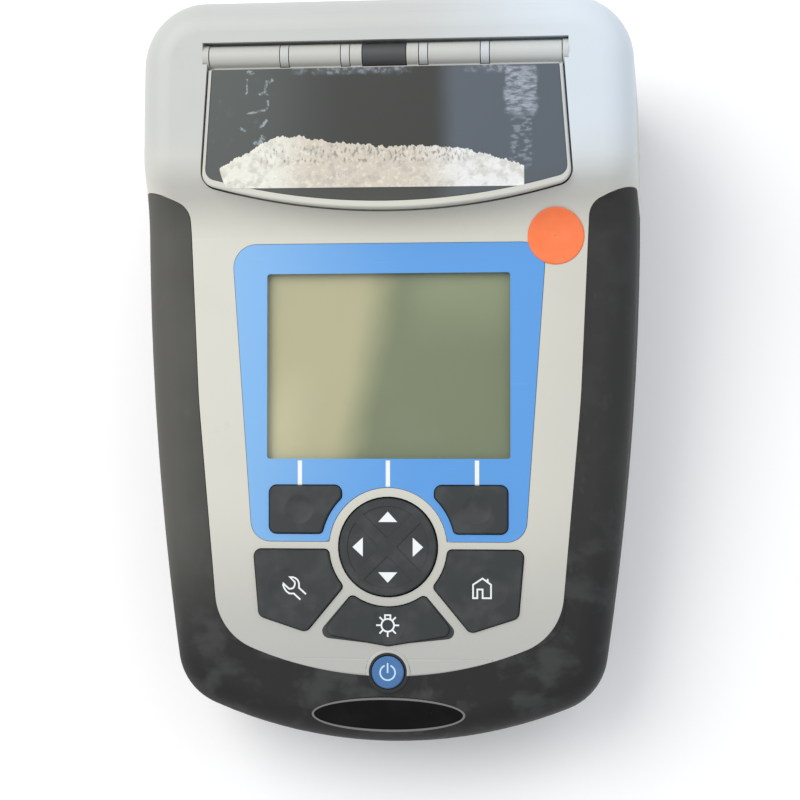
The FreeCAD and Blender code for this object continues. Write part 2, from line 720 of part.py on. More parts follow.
def base_bosses():
    """Posts that stand on the floor: six for the case screws and six under the bench."""
    posts = [rod(CASE_POST_RADIUS, SPLIT_Z - BASE_Z - 1, V(x, y, BASE_Z + 1))
             for x, y in both_signs(CASE_SCREWS_AT)]
    posts += [rod(BENCH_POST_RADIUS, BENCH_Z - BASE_Z - 1, V(x, y, BASE_Z + 1))
              for x, y in both_signs(BENCH_POSTS_AT)]
    return posts


def base_cuts():
    """Holes in the base: counterbored screw holes, bench drillings, foot seats and the door."""
    cuts = []
    for x, y in both_signs(CASE_SCREWS_AT):
        cuts.append(rod(CASE_SCREW_HEAD_RADIUS + 0.3, CASE_SCREW_SEAT_Z, V(x, y, 0)))
        cuts.append(rod(CASE_SCREW_RADIUS, FAR, V(x, y, 0)))
    for x, y in both_signs(BENCH_POSTS_AT):
        cuts.append(rod(BENCH_SCREW_RADIUS, 10, V(x, y, BENCH_Z - 10)))
    for x, y in both_signs(FEET_AT):
        cuts.append(rod(FOOT_RADIUS, FOOT_SINK, V(x, y, BASE_Z)))
    roof = battery_z() + BATTERY_RADIUS + TRAY_FIT
    cuts.append(tray_box(0, 0, roof))
    cuts.append(tray_box(DOOR_LAP, 0, BASE_Z + DOOR_THICKNESS))
    return cuts


def seal_ring(outline, gap):
    """The band between the two housings, in a groove of the lower one's rim."""
    mid = WALL / 2
    outside = walled(outline, [(mid - 0.5 - gap, SPLIT_Z - SEAL_SECTION), (mid - 0.5 - gap, SPLIT_Z)])
    inside = walled(outline, [(mid + 0.5 + gap, SPLIT_Z - SEAL_SECTION), (mid + 0.5 + gap, SPLIT_Z)])
    return outside.cut(inside)


def make_base(outline):
    """The lower housing: a rounded tub with a battery tray, posts and foot seats."""
    outer = walled(outline, base_section(0))
    inner = walled(outline, base_section(WALL))
    roof = battery_z() + BATTERY_RADIUS + TRAY_FIT
    tray = tray_box(TRAY_WALL + DOOR_LAP, BASE_Z, BASE_Z + 2 * WALL).fuse(
        tray_box(TRAY_WALL, BASE_Z, roof + TRAY_WALL))
    shell = outer.cut(inner).fuse(base_bosses() + [tray]).common(outer)
    bench_tops = [rod(BENCH_POST_RADIUS, BENCH_Z - SPLIT_Z + 1, V(x, y, SPLIT_Z - 1))
                  for x, y in both_signs(BENCH_POSTS_AT)]
    shell = shell.fuse(bench_tops).cut(base_cuts() + [seal_ring(outline, 0)])
    return shell.removeSplitter()


def make_door():
    """The battery door: a flat lid with a stiffening rim inside and a thumb scoop outside."""
    plate = tray_box(DOOR_LAP - DOOR_GAP, BASE_Z, BASE_Z + DOOR_THICKNESS - 0.1)
    rim = tray_box(-DOOR_GAP, BASE_Z, BASE_Z + WALL)
    rim = rim.cut(tray_box(-DOOR_GAP - TRAY_WALL, 0, FAR))
    rib_y = sum(BATTERY_ROWS_Y) / 2
    half = BATTERY_LENGTH - 2
    rib = box(-half, half, rib_y - 0.8, rib_y + 0.8, BASE_Z, BASE_Z + WALL + 1.5)
    door = fused([plate, rim, rib])
    front = min(BATTERY_ROWS_Y) - BATTERY_RADIUS
    scoop = Part.makeSphere(16, V(0, front + 2, BASE_Z - 15.3))
    return door.cut(scoop)


def make_battery():
    """One round cell lying along X, with its raised contact at the +X end."""
    can = rod(BATTERY_RADIUS, BATTERY_LENGTH - BATTERY_NUB, V(0, 0, 0), ACROSS)
    edges = [e for e in can.Edges if e.Curve.TypeId == "Part::GeomCircle"]
    can = can.makeFillet(0.6, edges)
    nub = rod(2.7, BATTERY_NUB, V(BATTERY_LENGTH - BATTERY_NUB, 0, 0), ACROSS)
    return fused([can, nub])


def batteries():
    """Four cells: two in each row, end to end, with the rows facing opposite ways."""
    cell = make_battery()
    placed = []
    for row, y in enumerate(BATTERY_ROWS_Y):
        for x in (-BATTERY_LENGTH, 0):
            one = cell.copy()
            if row:
                one.rotate(V(BATTERY_LENGTH / 2, 0, 0), UP, 180)
            one.translate(V(x, y, battery_z()))
            placed.append(one)
    return placed


def make_contacts():
    """Sprung contact strips at the two ends of the tray, each across both rows."""
    front, back = min(BATTERY_ROWS_Y) - 5, max(BATTERY_ROWS_Y) + 5
    z = battery_z()
    end = BATTERY_LENGTH + TRAY_END_ROOM
    strip = box(end - CONTACT_THICKNESS, end, front, back, z - 4, z + 4)
    parts = [strip]
    for y in BATTERY_ROWS_Y:
        outside = Part.makeCone(4.5, 2.0, TRAY_END_ROOM - 0.1, V(end, y, z), -ACROSS)
        inside = Part.makeCone(3.9, 1.4, TRAY_END_ROOM - 0.1, V(end + 0.01, y, z), -ACROSS)
        parts.append(outside.cut(inside))
    right = fused(parts)
    return both_sides([right])


def make_case_screw(x, y):
    """One case screw, head down, with a cross socket."""
    head = rod(CASE_SCREW_HEAD_RADIUS, CASE_SCREW_HEAD_HEIGHT,
               V(0, 0, CASE_SCREW_SEAT_Z - CASE_SCREW_HEAD_HEIGHT))
    shank = rod(CASE_SCREW_RADIUS, SPLIT_Z + 12 - CASE_SCREW_SEAT_Z, V(0, 0, CASE_SCREW_SEAT_Z))
    low = CASE_SCREW_SEAT_Z - CASE_SCREW_HEAD_HEIGHT
    cross = box(-1.8, 1.8, -0.4, 0.4, low, low + 1.2).fuse(box(-0.4, 0.4, -1.8, 1.8, low, low + 1.2))
    screw = fused([head, shank]).cut(cross)
    screw.translate(V(x, y, 0))
    return screw


def make_foot(x, y):
    """A round rubber foot with a chamfered lower edge."""
    foot = rod(FOOT_RADIUS, BASE_Z + FOOT_SINK, V(x, y, 0))
    low = [e for e in foot.Edges if e.Closed and e.CenterOfMass.z < 0.1]
    return foot.makeChamfer(0.7, low)


def lid_lower_limit():
    """The space the lid may fill: over the ledge, and down to the face in front of the step."""
    over_ledge = above(LEDGE + LID_REST_GAP, on_head)
    ahead = box(-FAR, FAR, 0, MOAT_Y - LID_GAP, 0, FAR).common(above(LID_GAP, on_face))
    return over_ledge.fuse(ahead)


def barrel_slots():
    """The gaps in the lid's barrel for the knuckles and the centre block."""
    radius = BARREL_RADIUS + KNUCKLE_GAP
    slots = []
    for x in KNUCKLES_AT:
        half = KNUCKLE_HALF_WIDTH + KNUCKLE_GAP
        slots.append(rod(radius, 2 * half, V(x - half, 0, 0), ACROSS))
        slots.append(box(x - half, x + half, -radius, 0, -radius, 0))
    half = CENTRE_KNUCKLE_HALF_WIDTH + KNUCKLE_GAP
    centre = rod(radius, 2 * half, V(-half, 0, 0), ACROSS)
    return both_sides(slots) + [centre, box(-half, half, -radius, 0, -radius, 0)]


def panel_area(grow):
    """The dark insert of the lid, with a wider rim in front of it and a lip at the hinge."""
    area = lid_outline(grow - LID_RIM)
    area.translate(V(0, LID_FRONT_RIM - LID_RIM, 0))
    near = BARREL_RADIUS + LID_HINGE_LIP - grow
    keep = Part.makePlane(2 * FAR, FAR, V(-FAR, -near - FAR, 0))
    return area.common(keep).Faces[0]


def make_lid():
    """The lid's frame: a shallow tray with a barrel along its back edge."""
    block = lid_prism(0, -FAR / 4, BARREL_RADIUS)
    block = block.makeFillet(LID_EDGE_RADIUS, lid_top_edges(block))
    hollow = lid_prism(-LID_SKIRT, -FAR, BARREL_RADIUS - LID_PLATE)
    tray = block.cut(hollow).common(lid_lower_limit())
    wide = LID_HINGE_HALF_WIDTH
    barrel = rod(BARREL_RADIUS, 2 * wide, V(-wide, 0, 0), ACROSS)
    back = box(-FAR, FAR, -BARREL_RADIUS / 2, FAR, -FAR, FAR)
    web = box(-wide + 1, wide - 1, -BARREL_RADIUS - 1.4, 0, -1.0, BARREL_RADIUS - LID_PLATE)
    tray = tray.cut([on_head(cut) for cut in [back] + lid_groove()])
    recess = prism(panel_area(PANEL_GAP), BARREL_RADIUS - PANEL_SINK - PANEL_THICKNESS, FAR)
    lid = tray.cut(on_head(recess)).fuse(on_head(barrel.fuse(web)))
    bore = rod(PIN_RADIUS + PIN_CLEARANCE, 2 * FAR, V(-FAR, 0, 0), ACROSS)
    lid = lid.cut([on_head(cut) for cut in barrel_slots() + [bore]])
    return lid.removeSplitter()


def lid_groove():
    """The groove between the barrel and the lid's plate, with the plate's back edge bevelled so
    that it clears the housing when the lid stands open."""
    edge = -BARREL_RADIUS - LID_HINGE_LIP
    groove = box(-FAR, FAR, edge, 0, BARREL_RADIUS - LID_PLATE - 0.2, FAR)
    bevel = box(-FAR, FAR, 0, FAR, -FAR, FAR)
    bevel.rotate(V(0, 0, 0), ACROSS, 45)
    bevel.translate(V(0, edge - LID_BACK_BEVEL, BARREL_RADIUS))
    return [groove, bevel.common(box(-FAR, FAR, edge - FAR, 0, 0, FAR))]


def lid_top_edges(block):
    """The top edges of the lid block, apart from the one at the hinge."""
    up = on_head(Part.makeLine(V(0, 0, 0), UP))
    start = up.Vertexes[0].Point
    axis = up.Vertexes[1].Point - start
    edges = [e for e in block.Edges if abs((e.CenterOfMass - start).dot(axis) - BARREL_RADIUS) < 0.01]
    return [e for e in edges if e.CenterOfMass.y < HINGE_Y - 5]


def make_lid_panel():
    top = BARREL_RADIUS - PANEL_SINK
    return on_head(prism(panel_area(0), top - PANEL_THICKNESS, top))


def make_lid_seal():
    """A soft strip under the lid, round three sides of the cell block."""
    front = -(HINGE_Y - WELL_Y + CELL_BLOCK_HALF_DEPTH + CELL_FLANGE) / math.cos(
        math.radians(HEAD_TILT_DEG)) - SEAL_ROOM
    wide = CELL_BLOCK_HALF_WIDTH + CELL_FLANGE + SEAL_ROOM
    low, high = LEDGE + 0.3, BARREL_RADIUS - LID_PLATE
    strip = box(-wide - SEAL_WIDTH, wide + SEAL_WIDTH, front - SEAL_WIDTH, -8, low, high)
    return on_head(strip.cut(box(-wide, wide, front, 0, -FAR, FAR)))


def make_hinge_pin():
    reach = LID_HINGE_HALF_WIDTH + KNUCKLE_GAP + END_CAP / 2
    return on_head(rod(PIN_RADIUS, 2 * reach, V(-reach, 0, 0), ACROSS))


def make_hinge_block():
    """The dark block in the middle of the hinge, seated in the trough on a foot."""
    half = CENTRE_KNUCKLE_HALF_WIDTH
    block = rod(BARREL_RADIUS, 2 * half, V(-half, 0, 0), ACROSS)
    trough = rod(BARREL_RADIUS + TROUGH_GAP, 2 * half, V(-half, 0, 0), ACROSS)
    foot = box(-half, half, -2.4, 2.4, -FAR, 0).common(trough)
    block = block.fuse(foot).cut(rod(PIN_RADIUS, 2 * half, V(-half, 0, 0), ACROSS))
    return on_head(block.removeSplitter())


def make_end_cap(side):
    """A cap that closes one end of the hinge and holds the pin."""
    start = LID_HINGE_HALF_WIDTH + KNUCKLE_GAP
    cap = rod(BARREL_RADIUS + 0.3, END_CAP, V(start, 0, 0), ACROSS)
    cap = cap.cut(rod(PIN_RADIUS, END_CAP / 2, V(start, 0, 0), ACROSS))
    cap = on_head(cap)
    return cap if side > 0 else both_sides([cap])[1]


def stem_low():
    """How far down a key's stem reaches at rest, over the dome that it presses."""
    return -BOARD_DEPTH + DOME_HEIGHT + KEY_TRAVEL


def make_key(points, ring_radius, stem_at, dish_radius):
    """A key: its cap with a softened edge and a dish, a retaining flange and a stem."""
    flange_top = -WALL - KEY_UNDER_GAP
    cap = key_prism(points, 0, ring_radius, flange_top, KEY_PROUD)
    rim = [e for e in cap.Edges if abs(e.CenterOfMass.z - KEY_PROUD) < 0.01]
    cap = cap.makeChamfer(KEY_EDGE, rim)
    flange = key_prism(points, KEY_FLANGE, ring_radius, flange_top - KEY_FLANGE_THICKNESS, flange_top)
    stem = disc_at(stem_at, STEM_RADIUS, stem_low(), flange_top)
    dish_ball = (dish_radius ** 2 + DISH_DEPTH ** 2) / (2 * DISH_DEPTH)
    dish = Part.makeSphere(dish_ball, V(*stem_at, KEY_PROUD - DISH_DEPTH + dish_ball))
    return on_face(fused([cap, flange, stem]).cut(dish))


def make_power_key():
    """The round power key, which runs inside its ring."""
    flange_top = -WALL - KEY_UNDER_GAP
    cap = disc_at(POWER_AT, POWER_RADIUS, flange_top, KEY_PROUD)
    rim = [e for e in cap.Edges if abs(e.CenterOfMass.z - KEY_PROUD) < 0.01]
    cap = cap.makeChamfer(KEY_EDGE, rim)
    flange = disc_at(POWER_AT, POWER_RADIUS + KEY_FLANGE, flange_top - KEY_FLANGE_THICKNESS,
                     flange_top)
    stem = disc_at(POWER_AT, STEM_RADIUS, stem_low(), flange_top)
    return on_face(fused([cap, flange, stem]))


def make_power_ring():
    """The dark ring round the power key, pressed into the skin."""
    tube = disc_at(POWER_AT, POWER_RING_RADIUS, -WALL, POWER_RING_PROUD)
    return on_face(tube.cut(disc_at(POWER_AT, POWER_RADIUS + KEY_GAP, -9, 9)))


def nav_places(reach):
    x, y = NAV_AT
    return [(x + reach, y), (x - reach, y), (x, y + reach), (x, y - reach)]


def make_nav_pad():
    """The round rocking pad: a disc with a raised cross, two ears and four stems below."""
    disc = disc_at(NAV_AT, NAV_RADIUS, -NAV_PAD_DEPTH, KEY_PROUD)
    rim = [e for e in disc.Edges if abs(e.CenterOfMass.z - KEY_PROUD) < 0.01]
    disc = disc.makeChamfer(KEY_EDGE, rim)
    low = -BOARD_DEPTH + DOME_HEIGHT + DOME_SPARE + math.sin(
        math.radians(NAV_TILT_DEG)) * (ARROW_STEM_REACH + NAV_STEM_RADIUS)
    stems = [disc_at(at, NAV_STEM_RADIUS, low, 0) for at in nav_places(ARROW_STEM_REACH)]
    ears = [bearing_ear(0, sign, -NAV_PAD_DEPTH) for sign in (1, -1)]
    pad = fused([disc] + stems + ears).cut(pad_cross())
    return on_face(pad)


def pad_cross():
    """The four shallow petals pressed into the pad, which leave a raised diagonal cross."""
    centre = V(NAV_AT[0], NAV_AT[1], 0)
    ring = disc_at(NAV_AT, PETAL_OUT, KEY_PROUD - PETAL_DEPTH, 9).cut(
        disc_at(NAV_AT, PETAL_IN, 0, 9))
    arm = box(-FAR, FAR, -PETAL_ARM / 2, PETAL_ARM / 2, 0, 9)
    for turn in (45, 135):
        one = arm.copy()
        one.rotate(V(0, 0, 0), UP, turn)
        one.translate(centre)
        ring = ring.cut(one)
    return ring


def bearing_ear(across, sign, top):
    """An upright ear with a hole for one arm of the spider. Across is 1 for the arms along X."""
    outer = SPIDER_ARM_LENGTH + EAR_THICKNESS / 2
    pivot = V(NAV_AT[0], NAV_AT[1], -NAV_PIVOT_DEPTH)
    axis = V(1, 0, 0) if across else V(0, 1, 0)
    inner = pivot + axis * (sign * (outer - EAR_THICKNESS / 2) - EAR_THICKNESS / 2)
    eye = rod(EAR_RADIUS, EAR_THICKNESS, inner, axis)
    wide = EAR_RADIUS if not across else EAR_THICKNESS
    deep = EAR_THICKNESS if not across else EAR_RADIUS
    x0 = inner.x - EAR_RADIUS if not across else inner.x
    y0 = inner.y if not across else inner.y - EAR_RADIUS
    x1 = x0 + (2 * wide if not across else wide)
    y1 = y0 + (deep if not across else 2 * deep)
    post = box(x0, x1, y0, y1, min(pivot.z, top), max(pivot.z, top))
    return eye.fuse(post).cut(rod(SPIDER_ARM_RADIUS + BEARING_GAP, 4 * EAR_THICKNESS,
                                  inner - axis * EAR_THICKNESS, axis))


def make_spider():
    """The small cross between the pad and its cradle, which lets the pad rock both ways."""
    pivot = V(NAV_AT[0], NAV_AT[1], -NAV_PIVOT_DEPTH)
    reach = SPIDER_ARM_LENGTH + EAR_THICKNESS
    arms = [rod(SPIDER_ARM_RADIUS, 2 * reach, pivot - axis * reach, axis)
            for axis in (V(1, 0, 0), V(0, 1, 0))]
    hub = rod(SPIDER_ARM_RADIUS * 2, 2 * SPIDER_ARM_RADIUS, pivot - UP * SPIDER_ARM_RADIUS)
    return on_face(fused(arms + [hub]))


def make_cradle():
    """The two fixed ears under the spider, on a small plate that stands on the board."""
    base = disc_at(NAV_AT, CRADLE_RADIUS, -BOARD_DEPTH, -BOARD_DEPTH + 0.8)
    ears = [bearing_ear(1, sign, -BOARD_DEPTH) for sign in (1, -1)]
    return on_face(fused([base] + ears))


def dome_places():
    """Where the keys press the board."""
    places = both_signs([SOFT_DISH_AT, MENU_DISH_AT])
    return places + [LIGHT_DISH_AT, POWER_AT] + nav_places(ARROW_STEM_REACH)


def make_dome(at):
    """A snap dome on the board."""
    ball = (DOME_RADIUS ** 2 + DOME_HEIGHT ** 2) / (2 * DOME_HEIGHT)
    cap = Part.makeSphere(ball, V(at[0], at[1], -BOARD_DEPTH + DOME_HEIGHT - ball))
    return on_face(cap.common(disc_at(at, DOME_RADIUS, -BOARD_DEPTH, 0)))


def make_bezel():
    """The coloured plate round the display, with openings for the display and two keys."""
    plate = prism(bezel_area(0), BEZEL_PROUD - BEZEL_THICKNESS, BEZEL_PROUD)
    near = [e for e in upright(plate) if abs(e.CenterOfMass.x) < 21 and e.CenterOfMass.y < -50]
    plate = plate.makeFillet(1.5, near)
    screen = box(-SCREEN_HALF_WIDTH, SCREEN_HALF_WIDTH, -SCREEN_HALF_HEIGHT, SCREEN_HALF_HEIGHT,
                 -9, 9)
    screen = screen.makeFillet(SCREEN_RADIUS, upright(screen))
    keys = both_sides([key_prism(SOFT_KEY, KEY_GAP, SOFT_KEY_RING, -9, 9)])
    return on_face(plate.cut([screen] + keys))


def screen_box(grow, low, high):
    wide, tall = SCREEN_HALF_WIDTH + grow, SCREEN_HALF_HEIGHT + grow
    return box(-wide, wide, -tall, tall, low, high)


def make_display():
    """The clear window, the liquid crystal cell, its backlight and the frame round them."""
    under_bezel = BEZEL_PROUD - BEZEL_THICKNESS
    window = screen_box(WINDOW_LAP, under_bezel - WINDOW_THICKNESS, under_bezel)
    cell_top = -WALL - LCD_GAP
    cell = screen_box(WINDOW_LAP, cell_top - LCD_THICKNESS, cell_top)
    light_low = cell_top - LCD_THICKNESS - LIGHT_GUIDE_THICKNESS
    guide = screen_box(WINDOW_LAP, light_low, cell_top - LCD_THICKNESS)
    frame = screen_box(WINDOW_LAP + LCD_FRAME_RIM, -BOARD_DEPTH, -WALL)
    frame = frame.cut([screen_box(WINDOW_LAP, light_low, 0), screen_box(-6, -FAR, 0)])
    return [on_face(shape) for shape in (window, cell, guide, frame)]


def board_area():
    half, front = BOARD_HALF_WIDTH, BOARD_FRONT_HALF_WIDTH
    corners = [(half, BOARD_TOP), (-half, BOARD_TOP), (-half, -60), (-front, BOARD_BOTTOM),
               (front, BOARD_BOTTOM), (half, -60)]
    return rounded_face([V(x, y, 0) for x, y in corners], [3.0] * 6)


def make_board():
    """The main circuit board, hung from the skin's posts."""
    board = prism(board_area(), -BOARD_DEPTH - BOARD_THICKNESS, -BOARD_DEPTH)
    holes = [disc_at(at, BOARD_SCREW_RADIUS, -FAR, FAR) for at in both_signs(BOARD_SCREWS_AT)]
    return on_face(board.cut(holes))


def make_mat():
    """A soft mat on the board under the keys, open round each dome and under the pad."""
    top, low = -42.0, BOARD_BOTTOM + 12
    area = rounded_face([V(x, y, 0) for x, y in
                         ((46, top), (-46, top), (-46, -80), (-32, low), (32, low), (46, -80))],
                        [3.0] * 6)
    mat = prism(area, -BOARD_DEPTH, -BOARD_DEPTH + MAT_THICKNESS)
    holes = [disc_at(at, MAT_HOLE_RADIUS, -FAR, FAR) for at in dome_places()[:5]]
    return on_face(mat.cut(holes + [disc_at(NAV_AT, NAV_RADIUS + NAV_GAP, -FAR, FAR)]))


def make_board_screw(at):
    """A small screw that holds the board to a post, head down."""
    low = -BOARD_DEPTH - BOARD_THICKNESS
    head = disc_at(at, 2 * BOARD_SCREW_RADIUS, low - 1.4, low)
    shank = disc_at(at, BOARD_SCREW_RADIUS, low, low + BOARD_THICKNESS + 5)
    return on_face(fused([head, shank]))


def make_chips():
    """The larger parts under the board's front half, each a plain package."""
    low = -BOARD_DEPTH - BOARD_THICKNESS
    chips = []
    for x, y, w, h, tall in CHIPS:
        chips.append(on_face(box(x - w / 2, x + w / 2, y - h / 2, y + h / 2, low - tall, low)))
    return chips


def make_badge():
    """The bare oval badge on the nose: a dark plate and a bright rim."""
    plate = badge_prism(-BADGE_RIM, -BADGE_THICKNESS, 0.2)
    rim = badge_prism(0, -BADGE_THICKNESS, 0.35).cut(badge_prism(-BADGE_RIM, -9, 9))
    return plate, rim


def make_cell_block():
    """The black block: a sunk level deck with the round and the long sample well in it, and the
    beam's path through both."""
    wide, deep = CELL_BLOCK_HALF_WIDTH, CELL_BLOCK_HALF_DEPTH
    body = box(-wide, wide, WELL_Y - deep, WELL_Y + deep, CELL_BLOCK_FLOOR_Z, FAR)
    rim = box(-wide - CELL_FLANGE, wide + CELL_FLANGE, WELL_Y - deep - CELL_FLANGE,
              WELL_Y + deep + CELL_FLANGE, CELL_BLOCK_FLOOR_Z, FAR)
    rim = rim.makeFillet(3.0, upright(rim)).common(above(LEDGE, on_head))
    top = above(LEDGE + CELL_FLANGE_THICKNESS, on_head)
    round_well = rod(ROUND_WELL_RADIUS, FAR, V(ROUND_WELL_X, WELL_Y, ROUND_WELL_FLOOR_Z))
    half = LONG_WELL_LENGTH / 2
    long_well = box(LONG_WELL_X - half, LONG_WELL_X + half, WELL_Y - LONG_WELL_WIDTH / 2,
                    WELL_Y + LONG_WELL_WIDTH / 2, LONG_WELL_FLOOR_Z, FAR)
    long_well = long_well.makeFillet(LONG_WELL_CORNER, upright(long_well))
    deck = box(CELL_DECK_WALL - wide, wide - CELL_DECK_WALL, WELL_Y - deep + CELL_DECK_WALL,
               WELL_Y + deep - CELL_DECK_WALL, CELL_DECK_Z, FAR)
    deck = deck.makeFillet(CELL_DECK_CORNER, upright(deck))
    beam = rod(BEAM_RADIUS, 2 * wide, V(-wide, WELL_Y, BEAM_Z), ACROSS)
    seats = both_sides([beam_window_disc(0)])
    cuts = [top, deck, round_well, long_well, beam] + seats + [clip_box(x, 0) for x in clip_places()]
    return body.fuse(rim).cut(cuts).removeSplitter()


def beam_window_disc(shrink):
    start = CELL_BLOCK_HALF_WIDTH - BEAM_WINDOW_THICKNESS
    return rod(BEAM_WINDOW_RADIUS - shrink, BEAM_WINDOW_THICKNESS, V(start, WELL_Y, BEAM_Z), ACROSS)


def clip_places():
    """Where the two leaf springs sit along the long well's back wall."""
    return [LONG_WELL_X - LONG_WELL_LENGTH / 4, LONG_WELL_X + LONG_WELL_LENGTH / 4]


def clip_box(x, shrink):
    """The pocket for a leaf spring in the back wall of the long well."""
    back = WELL_Y + LONG_WELL_WIDTH / 2
    return box(x - CLIP_WIDTH / 2 + shrink, x + CLIP_WIDTH / 2 - shrink, back - 0.01,
               back + CLIP_POCKET, BEAM_Z + 4, BEAM_Z + 4 + CLIP_HEIGHT)


def make_clip(x):
    """A leaf spring: a thin strip that bows towards the cell from its two ends."""
    back = WELL_Y + LONG_WELL_WIDTH / 2 + CLIP_POCKET
    low = BEAM_Z + 4.5
    high = low + CLIP_HEIGHT - 1.5
    bow = CLIP_POCKET - CLIP_THICKNESS - 0.1
    outside = arc(V(0, back, low), V(0, back - bow, (low + high) / 2), V(0, back, high))
    strip = outside.extrude(V(0, -CLIP_THICKNESS, 0))
    clip = strip.extrude(ACROSS * (CLIP_WIDTH - 1))
    clip.translate(ACROSS * (x - (CLIP_WIDTH - 1) / 2))
    return clip


def make_bench():
    """The plate that carries the optics, with an arm on each side of the cell block."""
    high = BENCH_Z + BENCH_THICKNESS
    half, inner = BENCH_HALF_WIDTH, BENCH_ARM_IN_X
    right = [(half, BENCH_FRONT_Y + 1), (half, BENCH_ARM_BACK_Y), (inner, BENCH_ARM_BACK_Y),
             (inner, BENCH_BACK_Y)]
    corners = right + [(-x, y) for x, y in reversed(right)]
    area = rounded_face([V(x, y, 0) for x, y in corners], [3.0] * 8)
    bench = prism(area, BENCH_Z, high)
    holes = [rod(BENCH_SCREW_RADIUS, FAR, V(x, y, 0)) for x, y in both_signs(BENCH_POSTS_AT)]
    holes.append(rod(SHAFT_RADIUS + 0.4, FAR, GRATING_AT))
    return bench.cut(holes)


def make_bench_screw(x, y):
    top = BENCH_Z + BENCH_THICKNESS
    return fused([rod(2 * BENCH_SCREW_RADIUS, 1.6, V(x, y, top)),
                  rod(BENCH_SCREW_RADIUS, 12, V(x, y, top - 12))])


def placed(shape, x, y, turn):
    """A shape drawn facing +X on the bench, turned and set at a place."""
    moved = shape.copy()
    moved.rotate(V(0, 0, 0), UP, turn)
    moved.translate(V(x, y, 0))
    return moved


def bench_top():
    return BENCH_Z + BENCH_THICKNESS


def make_mirror():
    """A round mirror with a hollow front, facing +X."""
    disc = rod(MIRROR_RADIUS, MIRROR_THICKNESS, V(-MIRROR_THICKNESS, 0, BEAM_Z), ACROSS)
    depth = MIRROR_CURVE - math.sqrt(MIRROR_CURVE ** 2 - MIRROR_RADIUS ** 2)
    return disc.cut(Part.makeSphere(MIRROR_CURVE, V(MIRROR_CURVE - depth, 0, BEAM_Z)))


def make_holder(depth):
    """A foot with an upright plate behind whatever it holds, facing +X."""
    long, wide, thick = HOLDER_FOOT
    foot = box(-depth - long, -depth, -wide / 2, wide / 2, bench_top(), bench_top() + thick)
    plate = box(-depth - thick, -depth, -wide / 2, wide / 2, bench_top(), BEAM_Z + MIRROR_RADIUS)
    return fused([foot, plate])


def make_fold_mirror():
    return box(-2.0, 0, -MIRROR_RADIUS, MIRROR_RADIUS, BEAM_Z - 6, BEAM_Z + 6)


def make_slit():
    """A thin upright plate with a narrow slot at the height of the beam."""
    thick, wide, tall = SLIT_PLATE
    plate = box(-thick / 2, thick / 2, -wide / 2, wide / 2, bench_top(), bench_top() + tall)
    foot = box(-4, 4, -wide / 2, wide / 2, bench_top(), bench_top() + 1)
    slot = box(-4, 4, -SLIT_WIDTH / 2, SLIT_WIDTH / 2, BEAM_Z - SLIT_HEIGHT / 2,
               BEAM_Z + SLIT_HEIGHT / 2)
    return fused([plate, foot]).cut(slot)


def make_lamp():
    """The lamp's housing, the lamp and its lens, in line along X."""
    long, wide, tall = LAMP_HOUSING
    x, y = LAMP_AT.x, LAMP_AT.y
    shell = box(x - long / 2, x + long / 2, y - wide / 2, y + wide / 2, bench_top(), bench_top() + tall)
    bore = rod(LENS_RADIUS, long - 3, V(x - long / 2, y, BEAM_Z), ACROSS)
    fins = [box(x - 6 + 5 * i, x - 4 + 5 * i, y - wide, y + wide, BEAM_Z + LENS_RADIUS + 0.8, FAR)
            for i in range(4)]
    lens = rod(LENS_RADIUS, 3, V(x - long / 2, y, BEAM_Z), ACROSS)
    lens = lens.cut(Part.makeSphere(14, V(x - long / 2 - 13.2, y, BEAM_Z)))
    start = x + long / 2 - 3 - LAMP_LENGTH
    glass = rod(LAMP_RADIUS, LAMP_LENGTH - 4, V(start, y, BEAM_Z), ACROSS)
    glass = glass.makeFillet(LAMP_RADIUS - 0.5, [e for e in glass.Edges if e.Closed and
                                                 abs(e.CenterOfMass.x - start) < 0.01])
    base = rod(LENS_RADIUS, 4, V(start + LAMP_LENGTH - 4, y, BEAM_Z), ACROSS)
    return shell.cut([bore] + fins), fused([glass, base]), lens


def make_motor():
    """The grating's motor, hung under the bench, with a bore for the shaft."""
    x, y = GRATING_AT.x, GRATING_AT.y
    can = rod(MOTOR_RADIUS, MOTOR_HEIGHT, V(x, y, BENCH_Z - MOTOR_HEIGHT))
    lug = box(x - 14, x + 14, y - 3.5, y + 3.5, BENCH_Z - 1, BENCH_Z)
    return fused([can, lug]).cut(rod(SHAFT_RADIUS + 0.4, 10, V(x, y, BENCH_Z - 9)))


def make_table():
    """The turning table of the grating, with its shaft down into the motor."""
    x, y = GRATING_AT.x, GRATING_AT.y
    low = bench_top() + TABLE_GAP
    disc = rod(TABLE_RADIUS, TABLE_THICKNESS, V(x, y, low))
    shaft = rod(SHAFT_RADIUS, low - BENCH_Z + 8, V(x, y, BENCH_Z - 8))
    return fused([disc, shaft])


def make_grating():
    """The ruled grating on its table, drawn turned to its resting angle."""
    long, thick, tall = GRATING_SIZE
    low = bench_top() + TABLE_GAP + TABLE_THICKNESS
    return placed(box(-thick / 2, thick / 2, -long / 2, long / 2, low, low + tall),
                  GRATING_AT.x, GRATING_AT.y, 180 - 20)


def make_detector():
    """The detector's small board and the diode that faces the cell block's window."""
    thick, wide, tall = DETECTOR_BOARD
    board = box(DETECTOR_X, DETECTOR_X + thick, WELL_Y - wide / 2, WELL_Y + wide / 2, bench_top(),
                bench_top() + tall)
    diode = rod(DIODE_RADIUS, DIODE_LENGTH, V(DETECTOR_X - DIODE_LENGTH, WELL_Y, BEAM_Z), ACROSS)
    return board, diode


